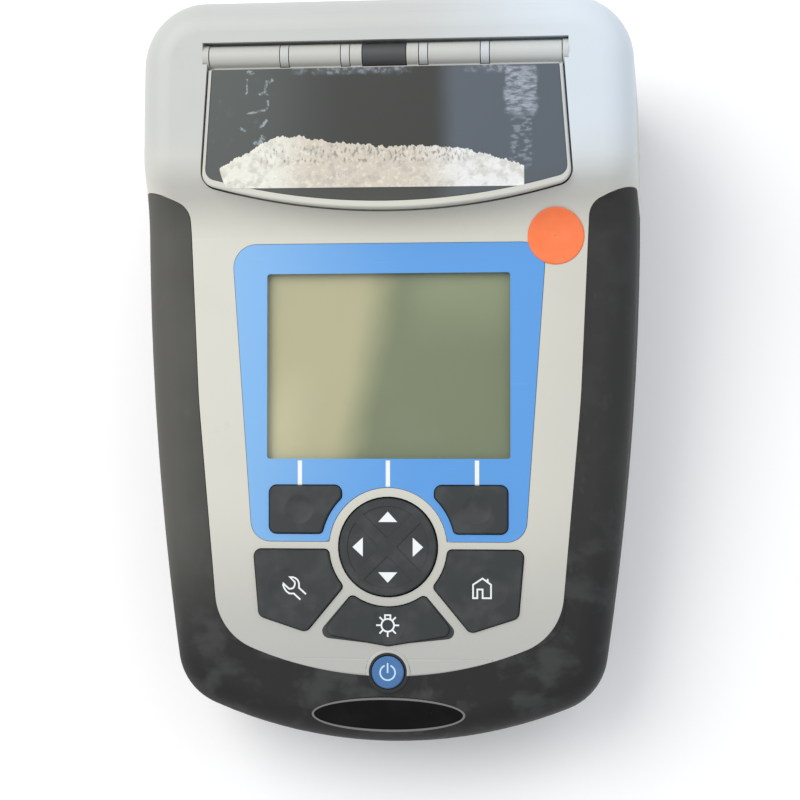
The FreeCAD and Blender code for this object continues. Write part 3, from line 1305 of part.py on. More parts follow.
def optics():
    """Every piece of the sealed optical path, by node name."""
    housing, lamp, lens = make_lamp()
    board, diode = make_detector()
    nodes = {"optical_bench": make_bench(), "lamp_housing": housing, "flash_lamp": lamp,
             "lamp_lens": lens, "stepper_motor": make_motor(), "grating_table": make_table(),
             "grating": make_grating(), "detector_board": board, "photodiode": diode}
    for i, (x, y, turn) in enumerate(MIRRORS_AT):
        nodes["focusing_mirror_" + str(i + 1)] = placed(make_mirror(), x, y, turn)
        nodes["mirror_holder_" + str(i + 1)] = placed(make_holder(MIRROR_THICKNESS), x, y, turn)
    nodes["fold_mirror"] = placed(make_fold_mirror(), *FOLD_AT)
    nodes["fold_holder"] = placed(make_holder(2.0), *FOLD_AT)
    nodes["slit_plate"] = [placed(make_slit(), *at) for at in SLITS_AT]
    nodes["bench_screw"] = [make_bench_screw(x, y) for x, y in both_signs(BENCH_POSTS_AT)]
    return nodes


def housings():
    """The case, its trims and fasteners, by node name."""
    outline = plan_outline()
    top, grip = make_top(outline)
    badge, rim = make_badge()
    return {"top_housing": top, "grip_band": grip, "bottom_housing": make_base(outline),
            "housing_seal": seal_ring(outline, -SEAL_GAP / 4),
            "battery_door": make_door(), "battery_cell": batteries(),
            "battery_contact": make_contacts(),
            "case_screw": [make_case_screw(x, y) for x, y in both_signs(CASE_SCREWS_AT)],
            "rubber_foot": [make_foot(x, y) for x, y in both_signs(FEET_AT)],
            "badge_plate": badge, "badge_rim": rim}


def lid_and_wells():
    """The lid with its hinge, and the sample wells under it, by node name."""
    windows = both_sides([beam_window_disc(0.05)])
    return {"lid_frame": make_lid(), "lid_panel": make_lid_panel(), "lid_seal": make_lid_seal(),
            "hinge_pin": make_hinge_pin(), "hinge_block": make_hinge_block(),
            "hinge_end_cap": [make_end_cap(1), make_end_cap(-1)],
            "cell_block": make_cell_block(), "beam_window": windows,
            "cell_clip": [make_clip(x) for x in clip_places()]}


def face_parts():
    """The display, the keys and the board behind them, by node name."""
    window, cell, guide, frame = make_display()
    ring = NAV_RING_RADIUS + KEY_GAP
    soft = both_sides([make_key(SOFT_KEY, SOFT_KEY_RING, SOFT_DISH_AT, 5.0)])
    menu = both_sides([make_key(MENU_KEY, ring, MENU_DISH_AT, DISH_RADIUS)])
    light = make_key(LIGHT_KEY, ring, LIGHT_DISH_AT, LIGHT_DISH_RADIUS)
    return {"display_bezel": make_bezel(), "display_window": window, "lcd_panel": cell,
            "lcd_light_guide": guide, "lcd_frame": frame,
            "soft_key_right": soft[0], "soft_key_left": soft[1], "home_key": menu[0],
            "settings_key": menu[1], "backlight_key": light, "power_key": make_power_key(),
            "power_key_ring": make_power_ring(), "nav_pad": make_nav_pad(),
            "nav_spider": make_spider(), "nav_cradle": make_cradle(),
            "snap_dome": [make_dome(at) for at in dome_places()], "key_mat": make_mat(),
            "main_board": make_board(), "board_chip": make_chips(),
            "board_screw": [make_board_screw(at) for at in both_signs(BOARD_SCREWS_AT)]}


def main():
    os.makedirs(OUT, exist_ok=True)
    nodes = {}
    for group in (housings(), lid_and_wells(), face_parts(), optics()):
        nodes.update(group)
    for name, shape in nodes.items():
        if isinstance(shape, list):
            shape = Part.makeCompound(shape)
        shape.exportStep(os.path.join(OUT, name + ".step"))


main()
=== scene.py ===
"""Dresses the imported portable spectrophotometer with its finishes, printed symbols and wear."""

import logging
import math
import random
from dataclasses import dataclass, field
from enum import Enum

import bmesh
import bpy
from mathutils import Matrix, Vector
from mathutils.bvhtree import BVHTree


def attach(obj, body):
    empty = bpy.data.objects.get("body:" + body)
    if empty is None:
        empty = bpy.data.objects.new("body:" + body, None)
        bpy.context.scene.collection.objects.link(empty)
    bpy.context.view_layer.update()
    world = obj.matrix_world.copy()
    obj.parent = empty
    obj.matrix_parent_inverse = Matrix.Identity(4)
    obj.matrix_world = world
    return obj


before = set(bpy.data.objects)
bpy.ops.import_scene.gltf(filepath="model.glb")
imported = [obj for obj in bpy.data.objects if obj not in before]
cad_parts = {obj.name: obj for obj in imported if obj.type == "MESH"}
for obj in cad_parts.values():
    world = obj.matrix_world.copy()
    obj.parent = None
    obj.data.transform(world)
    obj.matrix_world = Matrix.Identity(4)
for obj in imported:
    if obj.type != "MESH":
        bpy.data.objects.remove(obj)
log = logging.getLogger("spectrophotometer")

MM = 0.001
Colour = tuple[float, float, float]
Point = tuple[float, float]


# Shader maths


class Graph:
    """A node tree, with one method that makes every node in it."""

    def __init__(self, owner: bpy.types.Material | bpy.types.World) -> None:
        """Start an empty tree.

        Args:
            owner: the material or world that the tree belongs to.
        """
        owner.use_nodes = True
        self.owner, self.tree = owner, owner.node_tree
        self.tree.nodes.clear()

    def node(self, kind: str, settings: dict | None = None, inputs: dict | None = None,
             output: str | int = 0) -> "Signal":
        """Make one node, apply its settings, then fill its sockets.

        Args:
            kind: the node's type name.
            settings: attributes of the node.
            inputs: a value or a link for each socket, by name or number.
            output: the output socket to hand back.

        Returns:
            The chosen output as a signal.
        """
        made = self.tree.nodes.new(kind)
        for key, value in (settings or {}).items():
            setattr(made, key, value)
        for key, value in (inputs or {}).items():
            if isinstance(value, Signal):
                self.tree.links.new(value.socket, made.inputs[key])
            else:
                made.inputs[key].default_value = value
        return Signal(self, made.outputs[output] if made.outputs else None)

    def place(self) -> "Signal":
        """The shaded point in the shared frame, in millimetres."""
        here = self.node("ShaderNodeTexCoord", output="Object")
        return self.node("ShaderNodeVectorMath", {"operation": "SCALE"},
                         {0: here, "Scale": 1 / MM})

    def axis(self, name: str) -> "Signal":
        """The X, Y or Z of the shaded point, in millimetres."""
        return self.node("ShaderNodeSeparateXYZ", None, {0: self.place()}, name)

    def noise(self, size: float, detail: float = 3.0, seed: float = 0.0,
              stretch: tuple[float, float, float] = (1.0, 1.0, 1.0)) -> "Signal":
        """Soft noise between 0 and 1.

        Args:
            size: the size of one blotch, in millimetres.
            detail: how many finer layers lie on it.
            seed: moves the pattern, so that two finishes differ.
            stretch: how much shorter the blotches are along each axis.

        Returns:
            The noise as a number.
        """
        moved = self.node("ShaderNodeMapping", None,
                          {"Vector": self.place(), "Location": (seed, seed * 1.7, seed * 0.6),
                           "Scale": stretch})
        return self.node("ShaderNodeTexNoise", None,
                         {"Vector": moved, "Scale": 1.0 / size, "Detail": detail})

    def cells(self, size: float, seed: float) -> "Signal":
        """The distance to the nearest point of a random scatter with cells of this size."""
        moved = self.node("ShaderNodeMapping", None,
                          {"Vector": self.place(), "Location": (seed, seed, seed)})
        return self.node("ShaderNodeTexVoronoi", None, {"Vector": moved, "Scale": 1.0 / size},
                         "Distance")

    def ramp(self, value: "Signal", low: float, high: float) -> "Signal":
        """A smooth step from 0 at low to 1 at high, which may run downwards."""
        return self.node("ShaderNodeMapRange", {"interpolation_type": "SMOOTHSTEP"},
                         {"Value": value, "From Min": low, "From Max": high})

    def spots(self, low: float, high: float, *look: float | Colour) -> "Signal":
        """A smooth step from low to high on noise that is described as for noise()."""
        return self.ramp(self.noise(*look), low, high)

    def blend(self, mask: "Signal", first: "Signal | Colour",
              second: "Signal | Colour") -> "Signal":
        """The first colour where the mask is 0, and the second where it is 1."""
        ends = [c if isinstance(c, Signal) else (*c, 1.0) for c in (first, second)]
        return self.node("ShaderNodeMix", {"data_type": "RGBA"},
                         {"Factor": mask, 6: ends[0], 7: ends[1]}, 2)

    def wave(self, value: "Signal", length: float) -> "Signal":
        """Humps between 0 and 1 along a coordinate, one to each length in millimetres."""
        turn = value * (2.0 * math.pi / length)
        return 0.5 + 0.5 * self.node("ShaderNodeMath", {"operation": "SINE"}, {0: turn})

    def bump(self, height: "Signal", depth: float, under: "Signal | None" = None) -> "Signal":
        """A surface normal raised by a height.

        Args:
            height: the height, from 0 to 1.
            depth: how deep the full height is, in millimetres.
            under: a normal to build on.

        Returns:
            The normal.
        """
        inputs = {"Height": height, "Distance": depth * MM, "Strength": 1.0}
        return self.node("ShaderNodeBump", None, inputs | ({"Normal": under} if under else {}))

    def finish(self, base: "Signal | Colour", roughness: "Signal | float",
               normal: "Signal | None" = None, gloss: float = 0.5,
               more: dict | None = None) -> bpy.types.Material:
        """Close a material's tree with one surface shader.

        Args:
            base: its colour.
            roughness: its roughness.
            normal: its relief.
            gloss: how strongly it reflects head on.
            more: values and signals for its other sockets.

        Returns:
            The finished material.
        """
        inputs = {"Base Color": base if isinstance(base, Signal) else (*base, 1.0),
                  "Roughness": roughness, "Specular IOR Level": gloss}
        inputs |= ({"Normal": normal} if normal else {}) | (more or {})
        surface = self.node("ShaderNodeBsdfPrincipled", None, inputs)
        self.node("ShaderNodeOutputMaterial", None, {"Surface": surface})
        return self.owner


@dataclass(frozen=True)
class Signal:
    """An output socket that can be used in Python expressions."""

    graph: Graph
    socket: bpy.types.NodeSocket | None

    def _math(self, operation: str, first: "Signal | float", second: "Signal | float") -> "Signal":
        """The result of a Math node on two numbers."""
        return self.graph.node("ShaderNodeMath", {"operation": operation}, {0: first, 1: second})

    def __add__(self, other: "Signal | float") -> "Signal":
        """This plus other."""
        return self._math("ADD", self, other)

    def __radd__(self, other: float) -> "Signal":
        """Other plus this."""
        return self._math("ADD", other, self)

    def __sub__(self, other: "Signal | float") -> "Signal":
        """This less other."""
        return self._math("SUBTRACT", self, other)

    def __rsub__(self, other: float) -> "Signal":
        """Other less this."""
        return self._math("SUBTRACT", other, self)

    def __mul__(self, other: "Signal | float") -> "Signal":
        """This times other."""
        return self._math("MULTIPLY", self, other)

    def __rmul__(self, other: float) -> "Signal":
        """Other times this."""
        return self._math("MULTIPLY", other, self)

    def most(self, other: "Signal | float") -> "Signal":
        """The larger of this and other."""
        return self._math("MAXIMUM", self, other)


# Finishes


@dataclass(frozen=True)
class Coating:
    """What every finish shares."""

    name: str

    def graph(self) -> Graph:
        """The empty tree of a new material of this name."""
        return Graph(bpy.data.materials.new(self.name))


@dataclass(frozen=True)
class MouldedPlastic(Coating):
    """Fine-grained moulded plastic with faint mottling and handling marks."""

    colour: Colour
    roughness: float = 0.46
    grain: float = 0.55
    grain_depth: float = 0.012
    mottling: float = 0.05
    grime: Colour = (0.25, 0.24, 0.22)
    grime_amount: float = 0.16

    def material(self) -> bpy.types.Material:
        """Build the material.

        Returns:
            The finished material.
        """
        g = self.graph()
        blotch = g.noise(38.0, 4.0, 3.0)
        darker = tuple(c * (1.0 - self.mottling) for c in self.colour)
        lighter = tuple(min(1.0, c * (1.0 + self.mottling)) for c in self.colour)
        base = g.blend(g.ramp(blotch, 0.3, 0.7), darker, lighter)
        rub = g.spots(0.56, 0.78, 9.0, 6.0, 11.0) * g.spots(0.45, 0.65, 55.0, 2.0, 5.0)
        base = g.blend(rub * self.grime_amount, base, self.grime)
        relief = g.bump(g.noise(self.grain, 2.0), self.grain_depth)
        return g.finish(base, self.roughness + 0.12 * rub + 0.04 * blotch, relief, 0.42)


@dataclass(frozen=True)
class AgedHousing(Coating):
    """Pale grey plastic, warm on the face and darker towards the nose, with painted shade on its
    right and on the head, and a painted cool reflection on the head's upper right.
    """

    face: Colour = (0.645, 0.633, 0.560)
    nose: Colour = (0.470, 0.465, 0.440)
    # Painted shade: the head is darker and greyer than the face.
    head: Colour = (0.540, 0.548, 0.530)
    # Painted cool reflection of a bluish light on the head's upper right.
    painted_cool_reflection: Colour = (0.650, 0.715, 0.775)
    stain: Colour = (0.36, 0.34, 0.29)

    def material(self) -> bpy.types.Material:
        """Build the material.

        Returns:
            The finished material.
        """
        g = self.graph()
        x, y = g.axis("X"), g.axis("Y")
        drift = 16.0 * g.noise(60.0, 2.0, 4.0) - 8.0
        base = g.blend(g.ramp(y + drift, -40.0, -105.0), self.face, self.nose)
        # Painted shade: the face darkens a little towards the right.
        base = g.blend(g.ramp(x + drift, 30.0, 75.0) * 0.25, base, self.nose)
        # Painted shade over the head, and a painted cool reflection on its upper right.
        upper = g.ramp(x + drift, 0.0, 70.0) * g.ramp(g.axis("Z"), 62.0, 90.0)
        base = g.blend(g.ramp(y + drift, 46.0, 84.0), base, g.blend(upper, self.head, self.painted_cool_reflection))
        cloud = g.spots(0.5, 0.8, 22.0, 5.0, 9.0)
        rub = g.spots(0.60, 0.78, 7.0, 6.0, 11.0) * g.spots(0.5, 0.68, 50.0, 2.0, 5.0)
        speck = g.spots(0.72, 0.80, 1.3, 3.0, 2.0) * g.spots(0.5, 0.7, 30.0, 2.0, 8.0)
        base = g.blend((rub * 0.14).most(cloud * 0.05).most(speck * 0.22), base, self.stain)
        pores = g.bump(g.noise(0.55, 2.0), 0.012)
        return g.finish(base, 0.43 + 0.14 * rub + 0.05 * cloud, pores, 0.42)


@dataclass(frozen=True)
class GripRubber(Coating):
    """Matte charcoal rubber, lighter along the left from painted light and dust, with fine streaks
    near the nose.
    """

    colour: Colour = (0.027, 0.027, 0.026)
    nose: Colour = (0.017, 0.017, 0.017)
    # The dust colour serves real dust in the wisps and the painted light along the left.
    dust: Colour = (0.135, 0.132, 0.116)
    streak: Colour = (0.105, 0.108, 0.106)
    lint: Colour = (0.15, 0.15, 0.145)
    smear_from: float = -35.0
    smear_to: float = -95.0

    def material(self) -> bpy.types.Material:
        """Build the material.

        Returns:
            The finished material.
        """
        g = self.graph()
        x, y = g.axis("X"), g.axis("Y")
        drift = 20.0 * g.noise(26.0, 4.0, 6.0) - 10.0
        front = g.ramp(y + drift, self.smear_from, self.smear_to)
        base = g.blend(front, self.colour, self.nose)
        # Painted light and dust: the left side lightened towards the dust colour.
        haze = g.ramp(x + drift, -40.0, -84.0) * g.ramp(y + drift, -104.0, -54.0)
        base = g.blend(haze * 0.60, base, self.dust)
        smear = g.spots(0.47, 0.66, 13.0, 9.0, 2.0, (1.0, 1.3, 1.0)) * (0.25 + 0.75 * front)
        wisp = (g.spots(0.55, 0.70, 6.0, 9.0, 13.0, (1.3, 0.7, 1.0))
                * g.spots(0.46, 0.62, 34.0, 3.0, 1.0))
        base = g.blend(smear * 0.32, base, self.streak)
        base = g.blend(wisp * 0.14, base, self.dust)
        speck = g.spots(0.68, 0.8, 0.9, 4.0, 9.0) * (0.08 + 0.2 * smear)
        base = g.blend(speck, base, self.lint)
        grain = g.bump(g.noise(0.5, 3.0, 1.0), 0.03)
        return g.finish(base, 0.66 + 0.16 * smear, grain, 0.32)


@dataclass(frozen=True)
class KeyRubber(Coating):
    """Smooth dark silicone of the keys, with worn lighter patches from fingers."""

    colour: Colour = (0.029, 0.033, 0.033)
    worn: Colour = (0.058, 0.062, 0.061)
    gloss: float = 0.45
    lint: Colour = (0.22, 0.23, 0.23)

    def material(self) -> bpy.types.Material:
        """Build the material.

        Returns:
            The finished material.
        """
        g = self.graph()
        wear = g.spots(0.42, 0.72, 8.0, 5.0, 4.0)
        base = g.blend(wear * 0.6, self.colour, self.worn)
        base = g.blend(g.spots(0.7, 0.84, 0.9, 5.0, 7.0) * 0.25, base, self.lint)
        return g.finish(base, 0.42 + 0.16 * wear, g.bump(g.noise(0.35, 2.0), 0.01), self.gloss)


@dataclass(frozen=True)
class PrintedPanel(Coating):
    """Blue printed film over plastic, with painted light making it paler towards the left, and
    paler blotches low down.
    """

    colour: Colour = (0.100, 0.328, 0.735)
    # The paler blue of the painted light at the left and of the blotches low down.
    faded: Colour = (0.225, 0.470, 0.790)
    scratched: Colour = (0.5, 0.62, 0.8)

    def material(self) -> bpy.types.Material:
        """Build the material.

        Returns:
            The finished material.
        """
        g = self.graph()
        # Painted light: paler towards the left, where the light falls; paler blotches low down.
        side = g.ramp(g.axis("X") + 10.0 * g.noise(30.0, 2.0, 8.0), 20.0, -62.0)
        low = g.ramp(g.axis("Y"), -30.0, -70.0) * g.spots(0.45, 0.7, 16.0, 3.0, 3.0)
        base = g.blend((side * 0.9).most(low * 0.35), self.colour, self.faded)
        scratch = g.spots(0.68, 0.75, 2.2, 3.0, 5.0, (0.2, 3.0, 1.0)) * 0.12
        base = g.blend(scratch, base, self.scratched)
        return g.finish(base, 0.3 + 0.1 * side, g.bump(g.noise(1.2, 2.0), 0.006),
                        more={"Coat Weight": 0.25, "Coat Roughness": 0.12})


@dataclass(frozen=True)
class DisplayCell(Coating):
    """The resting liquid crystal: yellowish green, with a painted reflection of a pale light at
    the left, brightest low on the left, and a lighter painted reflection at the upper right.
    """

    middle: Colour = (0.180, 0.210, 0.112)
    # The left, brightest and right colours are painted reflections, not the crystal's own colour.
    left: Colour = (0.480, 0.450, 0.265)
    painted_glint: Colour = (0.600, 0.560, 0.350)
    right: Colour = (0.262, 0.300, 0.165)
    grid: Colour = (0.11, 0.13, 0.08)
    pixel: float = 0.36

    def material(self) -> bpy.types.Material:
        """Build the material.

        Returns:
            The finished material.
        """
        g = self.graph()
        x, y = g.axis("X"), g.axis("Y")
        drift = 7.0 * g.noise(24.0, 3.0, 6.0) - 3.5
        # Painted reflection: lighter towards the upper right.
        base = g.blend(g.ramp(y + drift, 2.0, 34.0) * g.ramp(x + drift, 0.0, 18.0),
                       self.middle, self.right)
        # Painted reflection: a pale field at the left, brightest low on the left.
        slant = x + drift + (24.0 - 0.22 * y)
        base = g.blend(g.ramp(slant, 24.0, 8.0), base, self.left)
        painted_glint_mask = g.ramp(slant, 6.0, -14.0) * g.ramp(y + drift, 8.0, -26.0)
        base = g.blend(painted_glint_mask, base, self.painted_glint)
        row, column = (g.ramp(g.wave(along, self.pixel), 0.7, 1.0) * 0.07 for along in (y, x))
        return g.finish(g.blend(row.most(column), base, self.grid), 0.35, None, 0.3)


@dataclass(frozen=True)
class ClearWindow(Coating):
    """Thin clear window with a light gloss and fine dust."""

    tint: Colour = (0.55, 0.60, 0.52)
    strength: float = 0.045

    def material(self) -> bpy.types.Material:
        """Build the material.

        Returns:
            The finished material.
        """
        g = self.graph()
        dust = g.spots(0.66, 0.8, 0.8, 4.0, 2.0) * 0.05
        film = g.spots(0.5, 0.8, 18.0, 4.0, 1.0) * 0.03
        return g.finish(self.tint, 0.08 + film, more={"Alpha": self.strength + dust + film})


@dataclass(frozen=True)
class LidPanel(Coating):
    """The dark sheet on the lid, with glue haze and scuffs where a label was pulled off."""

    middle: Colour = (0.040, 0.042, 0.038)
    left: Colour = (0.076, 0.086, 0.083)
    # A painted cool reflection, bluish.
    right: Colour = (0.093, 0.112, 0.136)
    front: Colour = (0.085, 0.088, 0.082)
    haze: Colour = (0.24, 0.26, 0.27)
    glue: Colour = (0.36, 0.40, 0.46)

    def material(self) -> bpy.types.Material:
        """Build the material.

        Returns:
            The finished material.
        """
        g = self.graph()
        x, y = g.axis("X"), g.axis("Y")
        drift = 4.0 * g.noise(18.0, 4.0, 3.0) - 2.0
        base = g.blend(g.ramp(x + drift, -12.0, -50.0), self.middle, self.left)
        # Painted cool reflection: bluish towards the right.
        base = g.blend(g.ramp(x + drift, 16.0, 25.0), base, self.right)
        base = g.blend(g.ramp(y + drift, 66.0, 54.0) * 0.5, base, self.front)
        marks = self._marks(g, x, y)
        base = g.blend(marks, base, self.glue)
        haze = g.spots(0.58, 0.8, 3.0, 8.0, 1.0) * g.ramp(x, -34.0, -48.0) * 0.14
        fade = g.spots(0.68, 0.8, 0.8, 6.0, 1.0) * 0.10
        base = g.blend(fade.most(haze), base, self.haze)
        skin = g.bump(g.noise(0.4, 2.0) * 0.4 + marks * 0.6, 0.02)
        return g.finish(base, 0.36 + 0.35 * marks, skin, 0.42)

    @staticmethod
    def _marks(g: Graph, x: "Signal", y: "Signal") -> "Signal":
        """Glue: a crackled patch at the right, a thinner tail below it and a line at the back.

        Args:
            g: the material's graph.
            x: the place to the right, in millimetres.
            y: the place to the back, in millimetres.

        Returns:
            How much glue lies there.
        """
        ragged = 5.0 * g.noise(4.0, 6.0, 15.0) - 2.5
        crackle = g.spots(0.42, 0.56, 2.6, 12.0, 5.0, (0.75, 1.9, 1.0))
        thread = g.spots(0.45, 0.6, 0.9, 6.0, 8.0, (0.5, 1.8, 1.0))
        patch = (g.ramp(x + ragged, 40.4, 42.2) * g.ramp(x + ragged, 52.8, 51.2)
                 * g.ramp(y + ragged, 81.2, 83.2) * g.ramp(y, 98.2, 96.6)
                 * (0.12 + 0.50 * crackle + 0.34 * thread))
        ragged = 5.0 * g.noise(5.0, 6.0, 25.0) - 2.5
        tail = (g.ramp(x + ragged, 42.4, 44.4) * g.ramp(x, 50.6, 49.8)
                * g.ramp(y, 62.0, 68.0) * g.ramp(y + ragged, 82.0, 80.0)
                * g.spots(0.47, 0.62, 1.8, 12.0, 7.0, (0.7, 1.5, 1.0)) * 0.42)
        ragged = 2.4 * g.noise(3.0, 8.0, 35.0) - 1.2
        line = (g.ramp(y + ragged, 95.2, 96.8) * g.ramp(x, -34.0, -27.0) * g.ramp(x, 46.0, 40.0)
                * g.spots(0.42, 0.60, 9.0, 3.0, 41.0)
                * (0.12 + 0.42 * g.spots(0.46, 0.62, 1.5, 9.0, 7.0)))
        return patch.most(tail).most(line)


@dataclass(frozen=True)
class GlueFilm(Coating):
    """Ragged scraps of dried glue, seen through where they are thin."""

    colour: Colour = (0.46, 0.53, 0.54)
    thick: Colour = (0.30, 0.35, 0.36)

    def material(self) -> bpy.types.Material:
        """Build the material.

        Returns:
            The finished material.
        """
        g = self.graph()
        scrap = g.spots(0.44, 0.60, 1.1, 7.0, 3.0)
        base = g.blend(g.noise(2.0, 4.0, 1.0), self.colour, self.thick)
        return g.finish(base, 0.8, g.bump(scrap, 0.03), 0.2, {"Alpha": 0.06 + 0.62 * scrap})


@dataclass(frozen=True)
class TornPaper(Coating):
    """The fibrous underside of a torn label: cream, then pinkish in the middle, then white."""

    left: Colour = (0.800, 0.785, 0.700)
    middle: Colour = (0.640, 0.575, 0.485)
    right: Colour = (0.790, 0.795, 0.780)
    mottle: Colour = (0.430, 0.405, 0.355)
    fluff: Colour = (0.90, 0.89, 0.84)
    speck: Colour = (0.150, 0.155, 0.140)

    def material(self) -> bpy.types.Material:
        """Build the material.

        Returns:
            The finished material.
        """
        g = self.graph()
        x, y = g.axis("X"), g.axis("Y")
        drift = 9.0 * g.noise(10.0, 4.0, 8.0) - 4.5
        base = g.blend(g.ramp(x + drift, -42.0, -22.0), self.left, self.middle)
        base = g.blend(g.ramp(x + drift, 8.0, 30.0), base, self.right)
        base = g.blend(g.spots(0.47, 0.64, 3.6, 8.0, 2.0) * 0.42, base, self.mottle)
        base = g.blend(g.spots(0.50, 0.66, 1.3, 8.0, 4.0) * 0.34, base, self.fluff)
        torn = (g.ramp(y, 65.2, 67.6) * g.ramp(y, 73.5, 71.0) * g.ramp(x, -50.0, -36.0)
                * g.ramp(x, 34.0, 22.0))
        grey = g.spots(0.53, 0.63, 1.5, 6.0, 12.0, (1.6, 0.8, 1.0)) * torn
        fleck = g.spots(0.66, 0.72, 1.0, 5.0, 17.0)
        base = g.blend((grey * 0.60).most(fleck * 0.35), base, self.speck)
        fibre = g.bump(g.noise(0.9, 8.0, 7.0), 0.22, g.bump(g.noise(3.4, 3.0, 6.0), 0.5))
        return g.finish(base, 0.95, fibre, 0.1)


@dataclass(frozen=True)
class PaperDot(Coating):
    """Bright paper sticker with a slightly faded, fibrous surface."""

    colour: Colour = (0.95, 0.21, 0.075)
    faded: Colour = (0.98, 0.28, 0.125)

    def material(self) -> bpy.types.Material:
        """Build the material.

        Returns:
            The finished material.
        """
        g = self.graph()
        fade = g.spots(0.35, 0.75, 6.0, 4.0, 2.0)
        base = g.blend(fade * 0.35, self.colour, self.faded)
        return g.finish(base, 0.72, g.bump(g.noise(0.5, 6.0, 3.0), 0.02), 0.25)


@dataclass(frozen=True)
class Ink(Coating):
    """Printed ink with slight loss at its edges."""

    colour: Colour = (0.86, 0.88, 0.89)

    def material(self) -> bpy.types.Material:
        """Build the material.

        Returns:
            The finished material.
        """
        g = self.graph()
        loss = g.spots(0.6, 0.85, 0.8, 4.0, 3.0) * 0.25
        base = g.blend(loss, self.colour, tuple(c * 0.7 for c in self.colour))
        return g.finish(base, 0.5 + 0.2 * loss)


@dataclass(frozen=True)
class Metal(Coating):
    """Bare or plated metal with a brushed or cast surface."""

    colour: Colour
    roughness: float = 0.32
    brush: tuple[float, float, float] = (1.0, 12.0, 1.0)

    def material(self) -> bpy.types.Material:
        """Build the material.

        Returns:
            The finished material.
        """
        g = self.graph()
        lines = g.noise(2.5, 4.0, 5.0, self.brush)
        base = g.blend(lines * 0.3, self.colour, tuple(c * 0.78 for c in self.colour))
        return g.finish(base, self.roughness + 0.12 * lines, g.bump(lines, 0.004),
                        more={"Metallic": 1.0})


@dataclass(frozen=True)
class CircuitBoard(Coating):
    """Green solder mask over faint copper tracks."""

    colour: Colour = (0.02, 0.13, 0.05)
    track: Colour = (0.05, 0.24, 0.09)

    def material(self) -> bpy.types.Material:
        """Build the material.

        Returns:
            The finished material.
        """
        g = self.graph()
        track = g.ramp(g.cells(3.0, 2.0), 0.42, 0.46)
        return g.finish(g.blend(track * 0.4, self.colour, self.track), 0.35, g.bump(track, 0.02))


@dataclass(frozen=True)
class ClearGlass(Coating):
    """Optical glass or a lamp's envelope."""

    tint: Colour = (0.86, 0.93, 0.94)

    def material(self) -> bpy.types.Material:
        """Build the material.

        Returns:
            The finished material.
        """
        g = self.graph()
        haze = g.noise(4.0, 3.0, 2.0) * 0.06
        return g.finish(self.tint, 0.04 + haze, more={"Alpha": 0.3 + haze})


class Finish(Enum):
    """Every finish on the instrument, named after what it covers."""

    HOUSING = AgedHousing("housing_grey")
    # The lid frame takes the same painted head shade and painted cool reflection, in tones of its
    # own.
    LID_FRAME = AgedHousing("lid_frame_grey", head=(0.520, 0.520, 0.485),
                            painted_cool_reflection=(0.575, 0.595, 0.590))
    DARK_PLASTIC = MouldedPlastic("dark_plastic", (0.070, 0.072, 0.075), 0.5, 0.6, 0.02)
    INNER_PLASTIC = MouldedPlastic("inner_plastic", (0.018, 0.018, 0.019), 0.55, 0.5, 0.015)
    LIGHT_GUIDE = MouldedPlastic("light_guide_white", (0.72, 0.73, 0.70), 0.35, 0.8, 0.004)
    CELL_WRAP = MouldedPlastic("cell_wrap", (0.16, 0.17, 0.19), 0.32, 4.0, 0.004)
    SOFT_SEAL = GripRubber("seal_rubber", (0.018, 0.018, 0.019), (0.014, 0.014, 0.014),
                           (0.05, 0.05, 0.048))
    GRIP = GripRubber("grip_rubber")
    KEY = KeyRubber("key_rubber")
    POWER_KEY = KeyRubber("power_key_blue", (0.060, 0.165, 0.375), (0.10, 0.23, 0.45))
    PANEL = PrintedPanel("blue_panel")
    DISPLAY = DisplayCell("display_cell")
    WINDOW = ClearWindow("display_window")
    LID_SHEET = LidPanel("lid_sheet")
    PAPER = TornPaper("torn_paper")
    GLUE = GlueFilm("glue_film")
    DOT = PaperDot("sticker_orange")
    INK = Ink("white_ink")
    POWER_INK = Ink("pale_blue_ink", (0.52, 0.74, 0.93))
    BADGE_FACE = KeyRubber("badge_face", (0.004, 0.004, 0.004), (0.009, 0.009, 0.008), 0.12)
    BADGE_TRIM = Metal("badge_trim", (0.33, 0.33, 0.32), 0.34, (1.0, 1.0, 1.0))
    STEEL = Metal("steel", (0.58, 0.58, 0.57), 0.3)
    ALUMINIUM = Metal("aluminium", (0.74, 0.75, 0.76), 0.38)
    MIRROR = Metal("mirror_coating", (0.90, 0.91, 0.92), 0.06, (1.0, 1.0, 1.0))
    BOARD = CircuitBoard("circuit_board")
    GLASS = ClearGlass("clear_glass")


# Drawing on the instrument


@dataclass(frozen=True)
class Plane:
    """A drawing plane that slopes up towards the back, in millimetres."""

    centre: tuple[float, float, float]
    tilt_deg: float

    def point(self, u: float, v: float, w: float = 0.0) -> Vector:
        """A point of the plane in the shared frame.

        Args:
            u: to the right.
            v: up the slope.
            w: out of the plane.

        Returns:
            The point in metres.
        """
        tilt = math.radians(self.tilt_deg)
        level = v * math.cos(tilt) - w * math.sin(tilt)
        rise = v * math.sin(tilt) + w * math.cos(tilt)
        x, y, z = self.centre
        return Vector((x + u, y + level, z + rise)) * MM

    def outward(self) -> Vector:
        """The direction out of the plane."""
        tilt = math.radians(self.tilt_deg)
        return Vector((0.0, -math.sin(tilt), math.cos(tilt)))


FACE = Plane((0.0, 0.0, 64.7), 9.0)
HEAD = Plane((0.0, 103.4, 91.927), 13.0)
NOSE = Plane((0.0, 0.0, 52.0), 0.0)


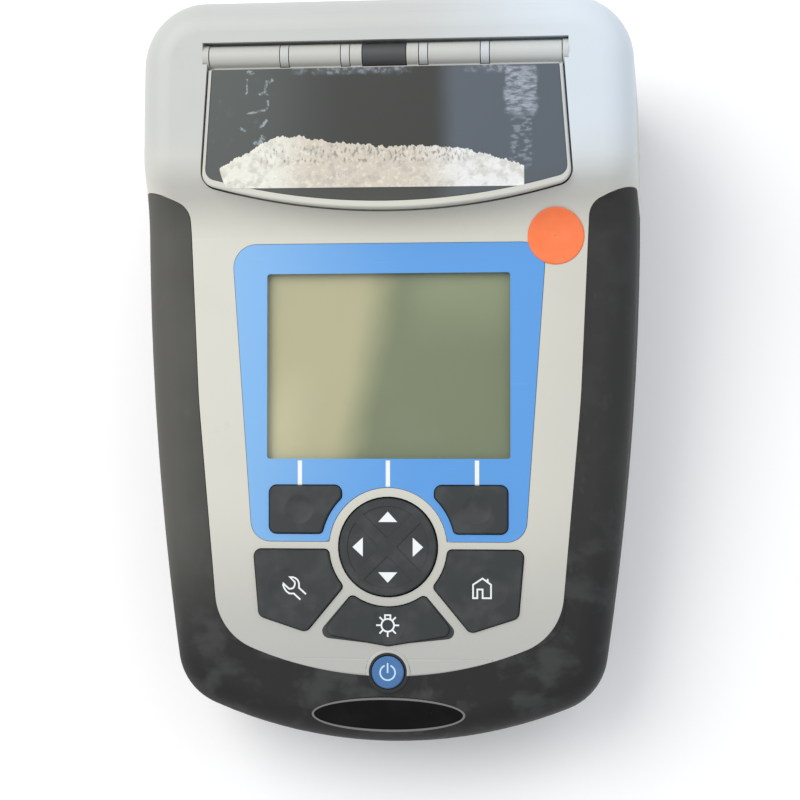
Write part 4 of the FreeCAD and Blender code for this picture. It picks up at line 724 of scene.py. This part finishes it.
def circle(centre: Point, radius: float, count: int, start: float = 0.0,
           turn: float = 360.0) -> list[Point]:
    """Points along a circle or an arc of it.

    Args:
        centre: the circle's centre.
        radius: its radius.
        count: the number of steps.
        start: the first angle in degrees, from the right, counterclockwise.
        turn: how far round to go.

    Returns:
        The points; a full circle leaves out the one that would repeat.
    """
    last = count if turn == 360.0 else count + 1
    angles = [math.radians(start + turn * k / count) for k in range(last)]
    return [(centre[0] + radius * math.cos(a), centre[1] + radius * math.sin(a)) for a in angles]


def between(start: Point, end: Point, step: float, count: float) -> Point:
    """The point that lies step parts of count on the way from start to end."""
    return tuple(first + (last - first) * step / count for first, last in zip(start, end))


def shifted(points: list[Point], by: Point) -> list[Point]:
    """The points moved by an offset."""
    return [(x + by[0], y + by[1]) for x, y in points]


def elbow(start: Point, corner: Point, end: Point, radius: float, count: int = 10) -> list[Point]:
    """A line with one rounded bend, in three stretches of equal counts.

    Args:
        start: the line's start.
        corner: where its two sides would meet.
        end: the line's end.
        radius: the bend's radius.
        count: the number of steps in each stretch.

    Returns:
        The points.
    """
    a, c, b = Vector(start), Vector(corner), Vector(end)
    to_start, to_end = (a - c).normalized(), (b - c).normalized()
    half = to_start.angle(to_end) / 2
    first, last = (c + way * radius / math.tan(half) for way in (to_start, to_end))
    hub = c + (to_start + to_end).normalized() * radius / math.sin(half)
    begin, finish = (math.atan2(*(p - hub).yx) for p in (first, last))
    turn = (finish - begin + math.pi) % (2 * math.pi) - math.pi
    bend = [hub + radius * Vector((math.cos(begin + turn * k / count),
                                   math.sin(begin + turn * k / count))) for k in range(count)]
    points = ([a.lerp(first, k / count) for k in range(count)] + bend
              + [last.lerp(b, k / count) for k in range(count + 1)])
    return [(p.x, p.y) for p in points]


@dataclass
class Carrier:
    """The surface of some carried-over nodes, on which thin pieces are laid."""

    plane: Plane
    nodes: tuple[str, ...]
    drape: float = 0.0
    reach: float = 12.0
    around: int = 8
    trees: list[BVHTree] = field(default_factory=list)

    def __post_init__(self) -> None:
        """Read the surfaces once."""
        for name in self.nodes:
            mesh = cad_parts[name].data
            corners = [vertex.co for vertex in mesh.vertices]
            faces = [tuple(polygon.vertices) for polygon in mesh.polygons]
            self.trees.append(BVHTree.FromPolygons(corners, faces))

    def seat(self, u: float, v: float, lift: float) -> Vector:
        """The point over (u, v) where a draped sheet lies, raised a little.

        Args:
            u: to the right on the plane.
            v: up the slope.
            lift: how far out of the surface, in millimetres.

        Returns:
            The point in metres.
        """
        places = [(u, v)] + (circle((u, v), self.drape, self.around) if self.drape else [])
        drop = min(self._drop(*place) for place in places)
        return self.plane.point(u, v, self.reach + lift) - self.plane.outward() * drop

    def _drop(self, u: float, v: float) -> float:
        """How far the surface lies under the plane's reach.

        Args:
            u: to the right on the plane.
            v: up the slope.

        Returns:
            The fall in metres.
        """
        start, down = self.plane.point(u, v, self.reach), -self.plane.outward()
        falls = [tree.ray_cast(start, down)[3] for tree in self.trees]
        return min((fall for fall in falls if fall is not None), default=self.reach * MM)


@dataclass
class Sheet:
    """A thin piece built on a carrier from rows of points or from filled outlines."""

    carrier: Carrier
    lift: float = 0.03
    thickness: float = 0.03
    step: float = 0.4
    mitre_floor: float = 0.1
    mitre_reach: float = 2.2
    hub_part: float = 0.02
    weld: float = 1e-6
    mesh: bmesh.types.BMesh = field(default_factory=bmesh.new)

    def grid(self, rows: list[list[Point]]) -> None:
        """Add a patch of quads between rows of points.

        Args:
            rows: rows of points on the plane, all of one length.
        """
        laid = [[self.mesh.verts.new(self.carrier.seat(u, v, self.lift)) for u, v in row]
                for row in rows]
        for low, high in zip(laid, laid[1:]):
            for a, b, c, d in zip(low, low[1:], high[1:], high):
                self.mesh.faces.new((a, b, c, d))

    def stroke(self, line: list[Point], width: float, closed: bool = False) -> None:
        """Add a line of even width with mitred corners.

        Args:
            line: the corners of the line's middle.
            width: the line's width.
            closed: whether its end meets its start.
        """
        sides = self._sides(line, width / 2, closed)
        if closed:
            sides, line = sides + sides[:1], line + line[:1]
        left, right = zip(*sides)
        self.grid([self._spread(edge, line) for edge in (right, left)])

    def _sides(self, line: list[Point], half: float, closed: bool) -> list[tuple[Point, Point]]:
        """The left and right edge points of a line at each of its corners.

        Args:
            line: the corners of the line's middle.
            half: half the line's width.
            closed: whether its end meets its start.

        Returns:
            A pair of points for each corner.
        """
        before, after = (line[-1], line[0]) if closed else (None, None)
        sides = []
        for last, here, following in zip([before, *line], line, [*line[1:], after]):
            ways = [(Vector(b) - Vector(a)).normalized()
                    for a, b in ((last, here), (here, following)) if a and b]
            normals = [Vector((-way.y, way.x)) for way in ways]
            out = sum(normals[1:], normals[0].copy()).normalized()
            out *= min(half / max(out.dot(normals[0]), self.mitre_floor), self.mitre_reach * half)
            sides.append(((here[0] + out.x, here[1] + out.y), (here[0] - out.x, here[1] - out.y)))
        return sides

    def _spread(self, edge: tuple[Point, ...], middle: list[Point]) -> list[Point]:
        """Divide an edge so that it follows the surface below.

        Args:
            edge: the edge's corners.
            middle: the line's own corners, which set the number of points.

        Returns:
            The divided edge.
        """
        points = [edge[0]]
        for a, b, p, q in zip(edge, edge[1:], middle, middle[1:]):
            count = max(1, round(math.dist(p, q) / self.step))
            points += [between(a, b, k, count) for k in range(1, count + 1)]
        return points

    def fan(self, middle: Point, outline: list[Point], rings: int) -> None:
        """Fill an outline around a middle point.

        Args:
            middle: a point that sees the whole outline.
            outline: the closed outline, in order.
            rings: how many rings of faces to use.
        """
        parts = [(k, rings) for k in range(rings, 0, -1)] + [(self.hub_part, 1)]
        self.grid([[between(middle, p, k, count) for p in outline + outline[:1]]
                   for k, count in parts])

    def finish(self, name: str, material: bpy.types.Material, smooth: bool) -> bpy.types.Object:
        """Thicken the sheet and make it an object.

        Args:
            name: the piece's name.
            material: its finish.
            smooth: whether it is shaded smooth.

        Returns:
            The new object.
        """
        mesh, outward = self.mesh, self.carrier.plane.outward()
        bmesh.ops.remove_doubles(mesh, verts=mesh.verts[:], dist=self.weld)
        bmesh.ops.recalc_face_normals(mesh, faces=mesh.faces[:])
        bmesh.ops.reverse_faces(mesh, faces=[f for f in mesh.faces if f.normal.dot(outward) < 0])
        raised = bmesh.ops.extrude_face_region(mesh, geom=mesh.faces[:], use_keep_orig=True)
        moved = [part for part in raised["geom"] if isinstance(part, bmesh.types.BMVert)]
        bmesh.ops.translate(mesh, verts=moved, vec=outward * self.thickness * MM)
        bmesh.ops.recalc_face_normals(mesh, faces=mesh.faces[:])
        data = bpy.data.meshes.new(name)
        mesh.to_mesh(data)
        mesh.free()
        for polygon in data.polygons:
            polygon.use_smooth = smooth
        data.materials.append(material)
        return placed(name, data)


def placed(name: str, data: bpy.types.ID) -> bpy.types.Object:
    """Put a new object into the scene.

    Args:
        name: the object's name.
        data: its mesh, lamp or camera.

    Returns:
        The object.
    """
    made = bpy.data.objects.new(name, data)
    bpy.context.scene.collection.objects.link(made)
    return made


# The instrument


class SubAssembly:
    """A group of pieces that are dressed together."""

    finishes: dict[Finish, tuple[str, ...]] = {}
    made: dict[Finish, bpy.types.Material] = {}

    def paint(self, finish: Finish) -> bpy.types.Material:
        """The material of a finish, built the first time it is asked for.

        Args:
            finish: the finish.

        Returns:
            Its material.
        """
        if finish not in self.made:
            self.made[finish] = finish.value.material()
        return self.made[finish]

    def dress(self) -> None:
        """Give the carried-over nodes of this group their finishes."""
        for finish, nodes in self.finishes.items():
            for name in nodes:
                shown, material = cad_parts[name], self.paint(finish)
                if not shown.material_slots:
                    shown.data.materials.append(material)
                for material_slot in shown.material_slots:
                    material_slot.material = material
                log.info("%s: %s", name, finish.name.lower())

    def add(self, sheet: Sheet, name: str, finish: Finish, slot: str, body: str,
            smooth: bool = False) -> None:
        """Finish a sheet and let it move with its body.

        Args:
            sheet: the drawn sheet.
            name: the piece's name.
            finish: its finish.
            slot: not used.
            body: the body that it moves with.
            smooth: whether it is shaded smooth.
        """
        piece = sheet.finish(name, self.paint(finish), smooth)
        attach(piece, body)
        log.info("%s on %s", name, body)


@dataclass
class NoseLine:
    """The arc where the pale shell ends at the nose, and the rounded corners beside it."""

    arc_radius: float = 126.8
    arc_low: float = -106.3
    side_low: Point = (58.8, -101.0)
    side_high: Point = (66.7, -11.7)
    cut_y: float = -101.0
    cut_half: float = 36.3
    old_radius: float = 11.0
    radius: float = 21.0
    lap: float = 0.7
    key_y: float = -104.9
    key_radius: float = 6.6
    rim_radius: float = 7.75
    rim_lap: float = 0.1
    rim_shape: tuple[int, int] = (6, 40)
    rows: int = 8
    corner_columns: int = 60
    tongue_step: float = 0.4

    @property
    def hub(self) -> Vector:
        """The arc's centre."""
        return Vector((0.0, self.arc_low + self.arc_radius))

    def arc(self, x: float) -> float:
        """The height of the nose arc at one place across."""
        return self.arc_low + self.arc_radius - math.sqrt(self.arc_radius ** 2 - x * x)

    def tongue(self, sign: int) -> list[list[Point]]:
        """The strip between the shell's straight cut and the arc, beside the power key.

        Args:
            sign: 1 for the right side and -1 for the left.

        Returns:
            Rows of points.
        """
        high = self.cut_y + self.lap
        start = math.sqrt(self.rim_radius ** 2 - (high - self.key_y) ** 2)
        count = round((self.cut_half - start) / self.tongue_step)
        columns = []
        for k in range(count + 1):
            x = start + (self.cut_half - start) * k / count
            low = self.arc(x)
            if x < self.rim_radius:
                low = max(low, self.key_y + math.sqrt(self.rim_radius ** 2 - x * x))
            columns.append([between((sign * x, low), (sign * x, high), j, self.rows)
                            for j in range(self.rows + 1)])
        return [list(row) for row in zip(*columns)]

    def rim(self, sign: int) -> list[list[Point]]:
        """The shell's narrow rim on the power key's ring.

        Args:
            sign: 1 for the right side and -1 for the left.

        Returns:
            Rows of points.
        """
        rows, count = self.rim_shape
        first = math.asin((self.arc(self.key_radius) - self.key_y) / self.key_radius)
        angles = [first + (math.pi / 2 - first) * k / count for k in range(count + 1)]
        wide = self.rim_radius + self.rim_lap - self.key_radius
        shape = []
        for reach in (self.key_radius + wide * j / rows for j in range(rows + 1)):
            across = [reach * math.cos(angle) for angle in angles]
            shape.append([(sign * x, max(self.key_y + reach * math.sin(angle), self.arc(x)))
                          for x, angle in zip(across, angles)])
        return shape

    def corner(self, radius: float) -> tuple[Vector, Vector, Vector]:
        """A rounded corner between the right side line and the arc.

        Args:
            radius: the corner's radius.

        Returns:
            Its centre, where it leaves the side line and where it meets the arc.
        """
        low, high = Vector(self.side_low), Vector(self.side_high)
        way = (high - low).normalized()
        inward = Vector((-way.y, way.x))
        base = low + inward * radius - self.hub
        half, reach = base.dot(way), self.arc_radius - radius
        root = math.sqrt(half * half - base.dot(base) + reach * reach)
        centre = min((low + inward * radius + way * t for t in (-half + root, -half - root)),
                     key=lambda p: p.y)
        front = self.hub + (centre - self.hub).normalized() * self.arc_radius
        return centre, centre - inward * radius, front

    def crescent(self, sign: int) -> list[list[Point]]:
        """What the wider corner takes from the shell: from it to the old outline, and a lap more.

        Args:
            sign: 1 for the right side and -1 for the left.

        Returns:
            Rows of points.
        """
        centre, side, front = self.corner(self.radius)
        old_centre, old_side, old_front = self.corner(self.old_radius)
        low, high = Vector(self.side_low), Vector(self.side_high)
        normal = Vector((high.y - low.y, low.x - high.x)).normalized()
        first, last = (math.atan2(*(p - centre).yx) for p in (front, side))
        columns = []
        for k in range(self.corner_columns + 1):
            angle = first + (last - first) * k / self.corner_columns
            way = Vector((math.cos(angle), math.sin(angle)))
            outer = centre + way * ((low - centre).dot(normal) / max(way.dot(normal), 1e-6))
            if outer.y <= old_side.y:
                outer = self._far_hit(centre, way, self.hub, self.arc_radius)
                if outer.x >= old_front.x:
                    outer = self._far_hit(centre, way, old_centre, self.old_radius)
            inner, outer = centre + way * self.radius, outer + way * self.lap
            columns.append([tuple(inner.lerp(outer, j / self.rows)) for j in range(self.rows + 1)])
        return [[(sign * x, y) for x, y in row] for row in zip(*columns)]

    @staticmethod
    def _far_hit(start: Vector, way: Vector, centre: Vector, radius: float) -> Vector:
        """The farther crossing of a ray with a circle.

        Args:
            start: the ray's start.
            way: the ray's direction.
            centre: the circle's centre.
            radius: the circle's radius.

        Returns:
            The crossing.
        """
        away = start - centre
        half = away.dot(way)
        root = math.sqrt(max(half * half - away.dot(away) + radius * radius, 0.0))
        return start + way * (root - half)


@dataclass
class Housing(SubAssembly):
    """The shell, the grip band, the battery door and the badge, with what holds them together."""

    lift: float = 0.012
    skin: float = 0.03
    drape: float = 0.3
    reach: float = 30.0
    line: NoseLine = field(default_factory=NoseLine)
    finishes = {
        Finish.HOUSING: ("top_housing",),
        Finish.DARK_PLASTIC: ("bottom_housing", "battery_door"),
        Finish.GRIP: ("grip_band",),
        Finish.SOFT_SEAL: ("housing_seal", "rubber_foot"),
        Finish.BADGE_FACE: ("badge_plate",),
        Finish.BADGE_TRIM: ("badge_rim",),
        Finish.STEEL: ("case_screw", "battery_contact"),
        Finish.CELL_WRAP: ("battery_cell",),
    }

    def build(self) -> None:
        """Dress the case and carry the pale shell down to its curved nose line."""
        self.dress()
        nodes = ("top_housing", "grip_band", "power_key_ring")
        for name, shapes, finish, slot in (
                ("nose_skin", (self.line.tongue, self.line.rim), Finish.HOUSING, "housing_grey"),
                ("grip_corners", (self.line.crescent,), Finish.GRIP, "grip_rubber")):
            sheet = Sheet(Carrier(NOSE, nodes, self.drape, self.reach), self.lift, self.skin)
            for shape in shapes:
                for sign in (1, -1):
                    sheet.grid(shape(sign))
            self.add(sheet, name, finish, slot, "case", smooth=True)


@dataclass
class LidGroup(SubAssembly):
    """The lid over the sample wells, with the remains of a torn label on its dark sheet."""

    bottom_left: Point = (-54.0, -45.3)
    bottom_right: Point = (47.6, -45.6)
    corner_rise: float = 6.3
    torn_top: tuple[Point, ...] = (
        (-57.2, -38.0), (-53.1, -35.7), (-47.1, -32.9), (-41.2, -29.5), (-36.5, -27.9),
        (-28.9, -27.7), (-24.8, -28.9), (-15.4, -29.9), (-6.1, -31.0), (0.8, -31.9), (10.1, -31.5),
        (19.4, -31.8), (27.4, -32.9), (34.3, -34.7), (41.2, -36.5), (47.6, -38.6))
    scraps: tuple[tuple[float, tuple[Point, ...]], ...] = (
        (1.0, ((-38.1, -8.5), (-40.6, -9.0), (-40.9, -12.9), (-43.4, -12.9))),
        (0.8, ((-40.1, -15.3), (-40.7, -18.4), (-47.4, -19.6))),
        (0.8, ((-50.0, -24.4), (-48.0, -25.7))),
        (1.0, ((-40.5, -21.9), (-43.2, -24.9))),
        (1.3, ((-47.3, -6.0), (-44.6, -5.7))),
        (0.6, ((-47.3, -7.9), (-47.6, -12.9))),
        (2.0, ((-41.7, -27.4), (-43.0, -29.5), (-45.0, -30.4))))
    scrap_step: float = 0.8
    scrap_wander: float = 0.28
    scrap_seed: int = 23
    label_seed: int = 7
    label_step: float = 0.3
    label_rows: int = 14
    tear: float = 0.38
    tear_memory: float = 0.55
    finishes = {
        Finish.LID_FRAME: ("lid_frame", "hinge_end_cap"),
        Finish.LID_SHEET: ("lid_panel",),
        Finish.SOFT_SEAL: ("lid_seal",),
        Finish.DARK_PLASTIC: ("hinge_block",),
        Finish.STEEL: ("hinge_pin",),
    }

    def build(self) -> None:
        """Dress the lid and lay the torn label and the scraps of glue on it."""
        self.dress()
        carrier = Carrier(HEAD, ("lid_panel", "lid_frame"), drape=0.4)
        label = Sheet(carrier, lift=0.02, thickness=0.12)
        label.grid(self._label_rows())
        self.add(label, "label_remains", Finish.PAPER, "lid_insert", "lid")
        film = Sheet(Carrier(HEAD, ("lid_panel",)), lift=0.01, thickness=0.02)
        chance = random.Random(self.scrap_seed)
        for width, line in self.scraps:
            film.stroke(self._frayed(chance, line), width)
        self.add(film, "glue_scraps", Finish.GLUE, "lid_insert", "lid")

    def _frayed(self, chance: random.Random, line: tuple[Point, ...]) -> list[Point]:
        """A line divided into short pieces that wander a little.

        Args:
            chance: the seeded source of numbers.
            line: the corners of the line.

        Returns:
            The wandering line.
        """
        points = [line[0]]
        for start, end in zip(line, line[1:]):
            count = max(1, round(math.dist(start, end) / self.scrap_step))
            for k in range(1, count + 1):
                points.append(tuple(place + chance.uniform(-1, 1) * self.scrap_wander
                                    for place in between(start, end, k, count)))
        return points

    def _label_rows(self) -> list[list[Point]]:
        """Rows of points from the label's straight bottom edge to its torn top.

        Returns:
            Rows of points.
        """
        chance, roughness = random.Random(self.label_seed), 0.0
        left, right = self.torn_top[0][0], self.bottom_right[0]
        count = round((right - left) / self.label_step)
        columns = []
        for k in range(count + 1):
            x = left + (right - left) * k / count
            roughness = self.tear_memory * roughness + chance.uniform(-self.tear, self.tear)
            low, top = (x, self._low_edge(x)), (x, self._height(x) + roughness)
            columns.append([between(low, top, j, self.label_rows)
                            for j in range(self.label_rows + 1)])
        return [list(row) for row in zip(*columns)]

    def _low_edge(self, x: float) -> float:
        """The label's lower edge, which rounds up at its torn left end.

        Args:
            x: a place along the label.

        Returns:
            The height of its lower edge.
        """
        (x0, y0), (x1, y1) = self.bottom_left, self.bottom_right
        level = y0 + (y1 - y0) * (x - x0) / (x1 - x0)
        past = max(0.0, (x0 - x) / (x0 - self.torn_top[0][0]))
        return level + self.corner_rise * past ** 2.0

    def _height(self, x: float) -> float:
        """The torn edge without its roughness, at one place.

        Args:
            x: a place along the label.

        Returns:
            The height of its upper edge.
        """
        for (x0, y0), (x1, y1) in zip(self.torn_top, self.torn_top[1:]):
            if x <= x1:
                return y0 + (y1 - y0) * (x - x0) / (x1 - x0)
        return self.torn_top[-1][1]


class SampleWells(SubAssembly):
    """The black block with the wells, under the lid."""

    finishes = {
        Finish.INNER_PLASTIC: ("cell_block",),
        Finish.GLASS: ("beam_window", "lamp_lens", "flash_lamp"),
        Finish.STEEL: ("cell_clip",),
    }


class Inside(SubAssembly):
    """The circuit board, the optics and their supports, closed in by the housing."""

    finishes = {
        Finish.BOARD: ("main_board", "detector_board"),
        Finish.INNER_PLASTIC: ("board_chip", "lamp_housing", "slit_plate", "nav_cradle"),
        Finish.STEEL: ("board_screw", "bench_screw", "snap_dome", "stepper_motor", "photodiode"),
        Finish.ALUMINIUM: ("optical_bench", "mirror_holder_1", "mirror_holder_2", "fold_holder",
                           "grating_table", "lcd_frame"),
        Finish.MIRROR: ("focusing_mirror_1", "focusing_mirror_2", "fold_mirror", "grating"),
        Finish.LIGHT_GUIDE: ("lcd_light_guide", "nav_spider"),
        Finish.KEY: ("key_mat",),
    }


@dataclass
class Display(SubAssembly):
    """The blue panel, its window and the resting liquid crystal."""

    tick_width: float = 1.5
    tick_top: float = -32.9
    tick_bottoms: tuple[Point, ...] = ((-30.85, -41.5), (0.0, -42.25), (30.95, -41.5))
    finishes = {
        Finish.PANEL: ("display_bezel",),
        Finish.WINDOW: ("display_window",),
        Finish.DISPLAY: ("lcd_panel",),
    }

    def build(self) -> None:
        """Dress the display and print the three ticks under it."""
        self.dress()
        sheet = Sheet(Carrier(FACE, ("display_bezel",)))
        for u, bottom in self.tick_bottoms:
            sheet.stroke([(u, self.tick_top), (u, bottom)], self.tick_width)
        self.add(sheet, "display_ticks", Finish.INK, "bezel_blue", "case")


class Symbol(Enum):
    """The line drawings printed on the keys, about each key's mark."""

    WRENCH = ((6.47, -2.16), (4.0, 0.0), (4.0, 0.69), (3.96, 1.72), (3.56, 2.68), (2.8, 3.32),
              (1.86, 3.68), (0.78, 3.7), (2.5, 2.02), (2.56, 1.39), (2.35, 0.5), (1.83, -0.16),
              (1.2, -0.32), (0.49, -0.38), (-1.5, 1.44), (-1.61, 0.88), (-1.16, -0.23),
              (-0.43, -1.26), (0.5, -1.95), (1.35, -2.02), (2.11, -1.96), (4.49, -4.05))
    HOUSE = ((-5.41, 1.56), (-2.15, 3.7), (0.76, 1.56), (0.76, -3.07), (-2.13, -3.07),
             (-2.13, -0.08), (-3.95, -0.08), (-3.95, -3.07), (-5.41, -3.07))
    CHIMNEY = ((-0.95, 3.05), (-0.28, 3.72), (0.06, 2.72), (-0.5, 2.62))
    LAMP_BASE = ((-0.95, 1.95), (-0.95, 3.5), (0.95, 3.5), (0.95, 1.95))
    POWER_BAR = ((0.0, 3.3), (0.0, -0.15))


@dataclass
class Keypad(SubAssembly):
    """The keys, the round rocking pad and what is printed on them."""

    line: float = 0.56
    menu_at: Point = (35.0, -77.2)
    light_at: Point = (0.0, -89.9)
    nav_at: Point = (0.0, -62.9)
    power_at: Point = (0.0, -106.2)
    chimney_middle: Point = (-0.4, 3.0)
    bulb_radius: float = 2.2
    rays: tuple[int, ...] = (-180, -135, -90, -45, 0, 45, 135)
    ray_reach: tuple[float, float] = (2.45, 4.0)
    arrow: tuple[Point, ...] = ((12.3, 0.0), (8.7, 3.3), (8.7, -3.3))
    power_radius: float = 2.6
    power_gap_deg: float = 23.0
    flare_inner: tuple[Point, ...] = ((13.38, -80.2), (23.66, -93.15), (8.0, -95.83))
    flare_outer: tuple[Point, ...] = ((13.6, -80.1), (25.4, -94.1), (8.0, -96.05))
    flare_radii: tuple[float, float] = (2.67, 2.5)
    flare_rows: int = 4
    finishes = {
        Finish.KEY: ("soft_key_left", "soft_key_right", "settings_key", "home_key",
                     "backlight_key", "nav_pad"),
        Finish.POWER_KEY: ("power_key",),
        Finish.INNER_PLASTIC: ("power_key_ring",),
    }

    def build(self) -> None:
        """Dress the keys, widen the backlight key's foot and print the symbols."""
        self.dress()
        self._flare_backlight_key()
        left = (-self.menu_at[0], self.menu_at[1])
        self._print("wrench_symbol", "settings_key", left, [(Symbol.WRENCH.value, False)])
        self._print("house_symbol", "home_key", self.menu_at, [(Symbol.HOUSE.value, True)],
                    [(self.chimney_middle, Symbol.CHIMNEY.value)], 2)
        self._print("bulb_symbol", "backlight_key", self.light_at, self._bulb())
        self._print("arrow_symbols", "nav_pad", self.nav_at, fills=self._arrowheads(), rings=3)
        start, turn = 90 + self.power_gap_deg, 360 - 2 * self.power_gap_deg
        ring = circle((0.0, 0.0), self.power_radius, 32, start, turn)
        self._print("power_symbol", "power_key", self.power_at,
                    [(ring, False), (Symbol.POWER_BAR.value, False)],
                    finish=Finish.POWER_INK, slot="power_blue")

    def _flare_backlight_key(self) -> None:
        """Lay the thin rubber edge that widens the backlight key's foot at both ends."""
        sheet = Sheet(Carrier(FACE, ("top_housing",), drape=0.3), lift=0.015, thickness=0.05)
        inner, outer = (elbow(*points, radius) for points, radius in
                        zip((self.flare_inner, self.flare_outer), self.flare_radii))
        for sign in (1, -1):
            sheet.grid([[between((sign * p[0], p[1]), (sign * q[0], q[1]), k, self.flare_rows)
                         for p, q in zip(inner, outer)] for k in range(self.flare_rows + 1)])
        self.add(sheet, "backlight_key_edge", Finish.KEY, "key_rubber", "case")

    def _print(self, name: str, key: str, at: Point, lines: list[tuple[tuple, bool]] = (),
               fills: list[tuple[Point, tuple]] = (), rings: int = 0,
               finish: Finish = Finish.INK, slot: str = "guide_white") -> None:
        """Print a drawing on a key.

        Args:
            name: the piece's name.
            key: the key's node, which is its body too.
            at: where the drawing's mark lies on the face.
            lines: lines about the mark, each with whether it closes.
            fills: filled outlines about the mark, each after its middle.
            rings: how many rings of faces fill an outline.
            finish: the ink.
            slot: passed on to add(), which does not use it.
        """
        sheet = Sheet(Carrier(FACE, (key,)))
        for line, closed in lines:
            sheet.stroke(shifted(line, at), self.line, closed)
        for middle, outline in fills:
            sheet.fan(shifted([middle], at)[0], shifted(outline, at), rings)
        self.add(sheet, name, finish, slot, key)

    def _bulb(self) -> list[tuple[list[Point], bool]]:
        """The lines of the bulb, its base and its rays.

        Returns:
            Each line with whether it closes.
        """
        lines = [(circle((0.0, 0.0), self.bulb_radius, 36), True), (Symbol.LAMP_BASE.value, False)]
        for angle in map(math.radians, self.rays):
            way = Vector((math.cos(angle), math.sin(angle)))
            lines.append(([(way.x * r, way.y * r) for r in self.ray_reach], False))
        return lines

    def _arrowheads(self) -> list[tuple[Point, list[Point]]]:
        """The four arrowheads of the rocking pad.

        Returns:
            Each arrowhead's outline after its middle.
        """
        heads = []
        for quarter in range(4):
            turn = Matrix.Rotation(math.radians(90 * quarter), 2)
            head = [turn @ Vector(point) for point in self.arrow]
            middle = sum(head[1:], head[0]) / 3
            heads.append((tuple(middle), [tuple(point) for point in head]))
        return heads


@dataclass
class Sticker(SubAssembly):
    """A round paper sticker that laps over the panel's corner onto the housing."""

    centre: Point = (58.3, 44.6)
    radius: float = 9.8
    thickness: float = 0.08

    def build(self) -> None:
        """Lay the sticker."""
        carrier = Carrier(FACE, ("top_housing", "display_bezel"), drape=0.9)
        sheet = Sheet(carrier, thickness=self.thickness)
        sheet.fan(self.centre, circle(self.centre, self.radius, 72), 16)
        self.add(sheet, "round_sticker", Finish.DOT, "housing_grey", "case", smooth=True)


@dataclass(frozen=True)
class Lamp:
    """A soft square lamp that looks at the instrument."""

    name: str
    at: tuple[float, float, float]
    size: float
    power: float
    colour: Colour
    aim: tuple[float, float, float] = (0.0, 0.0, 0.05)

    def hang(self) -> None:
        """Put the lamp into the scene."""
        light = bpy.data.lights.new(self.name, "AREA")
        light.size, light.energy, light.color = self.size, self.power, self.colour
        lamp = placed(self.name, light)
        lamp.location = self.at
        way = Vector(self.aim) - Vector(self.at)
        lamp.rotation_euler = way.to_track_quat("-Z", "Y").to_euler()


@dataclass
class Studio:
    """The pale floor, the soft lights and the camera."""

    target: tuple[float, float, float] = (4.2, -11.88, 0.0)
    distance: float = 600.0
    yaw_deg: float = 5.28
    pitch_deg: float = 1.30
    lens: float = 77.7
    sensor: float = 36.0
    floor_half: float = 900.0
    floor_drop: float = 0.2
    floor_tones: tuple[float, float] = (0.90, 0.93)
    floor_glow: float = 0.12
    sky: Colour = (0.95, 0.97, 1.0)
    sky_strength: float = 0.62
    lamps: tuple[Lamp, ...] = (
        Lamp("key_lamp", (-0.65, 0.35, 1.1), 1.0, 10.5, (1.0, 0.985, 0.955)),
        Lamp("fill_lamp", (0.8, 0.6, 0.9), 1.2, 3.6, (0.86, 0.93, 1.0)))

    def build(self) -> None:
        """Set the floor, the lights, the world and the camera."""
        self._floor()
        self._world()
        for lamp in self.lamps:
            lamp.hang()
        self._camera()
        bpy.context.scene.view_settings.view_transform = "Standard"

    def _floor(self) -> None:
        """Lay a pale floor just under the feet."""
        mesh = bmesh.new()
        bmesh.ops.create_grid(mesh, x_segments=8, y_segments=8, size=self.floor_half * MM)
        data = bpy.data.meshes.new("floor")
        mesh.to_mesh(data)
        mesh.free()
        floor = placed("floor", data)
        floor.location.z = -self.floor_drop * MM
        g = Graph(bpy.data.materials.new("floor_paper"))
        tone = g.blend(g.noise(220.0, 2.0, 3.0), *((grey,) * 3 for grey in self.floor_tones))
        data.materials.append(g.finish(tone, 0.9, more={
            "Emission Color": (1.0, 1.0, 1.0, 1.0), "Emission Strength": self.floor_glow}))

    def _world(self) -> None:
        """Light everything evenly, and show white behind the instrument."""
        world = bpy.data.worlds.new("studio_world")
        bpy.context.scene.world = world
        g = Graph(world)
        seen = g.node("ShaderNodeLightPath", output="Is Camera Ray")
        soft = g.node("ShaderNodeBackground", None,
                      {"Color": (*self.sky, 1.0), "Strength": self.sky_strength})
        white = g.node("ShaderNodeBackground", None, {"Color": (1.0, 1.0, 1.0, 1.0)})
        mixed = g.node("ShaderNodeMixShader", None, {0: seen, 1: soft, 2: white})
        g.node("ShaderNodeOutputWorld", None, {"Surface": mixed})

    def _camera(self) -> None:
        """Set the camera square to the sloping face, slightly from the right."""
        yaw, pitch = math.radians(self.yaw_deg), math.radians(self.pitch_deg)
        up = (FACE.point(0, 1) - FACE.point(0, 0)).normalized()
        back = (FACE.outward() * math.cos(yaw) * math.cos(pitch) + Vector((math.sin(yaw), 0, 0))
                - up * math.sin(pitch)).normalized()
        right = up.cross(back).normalized()
        basis = Matrix((right, back.cross(right), back)).transposed().to_4x4()
        data = bpy.data.cameras.new("camera")
        data.lens, data.sensor_width = self.lens, self.sensor
        camera = placed("camera", data)
        eye = FACE.point(*self.target) + back * self.distance * MM
        camera.matrix_world = Matrix.Translation(eye) @ basis
        bpy.context.scene.camera = camera


def main() -> None:
    """Dress the instrument, part by part, and set up the studio."""
    logging.basicConfig(level=logging.INFO, format="%(message)s")
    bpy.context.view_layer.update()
    Housing().build()
    SampleWells().dress()
    Inside().dress()
    LidGroup().build()
    Display().build()
    Keypad().build()
    Sticker().build()
    Studio().build()


if __name__ == "__main__":
    main()
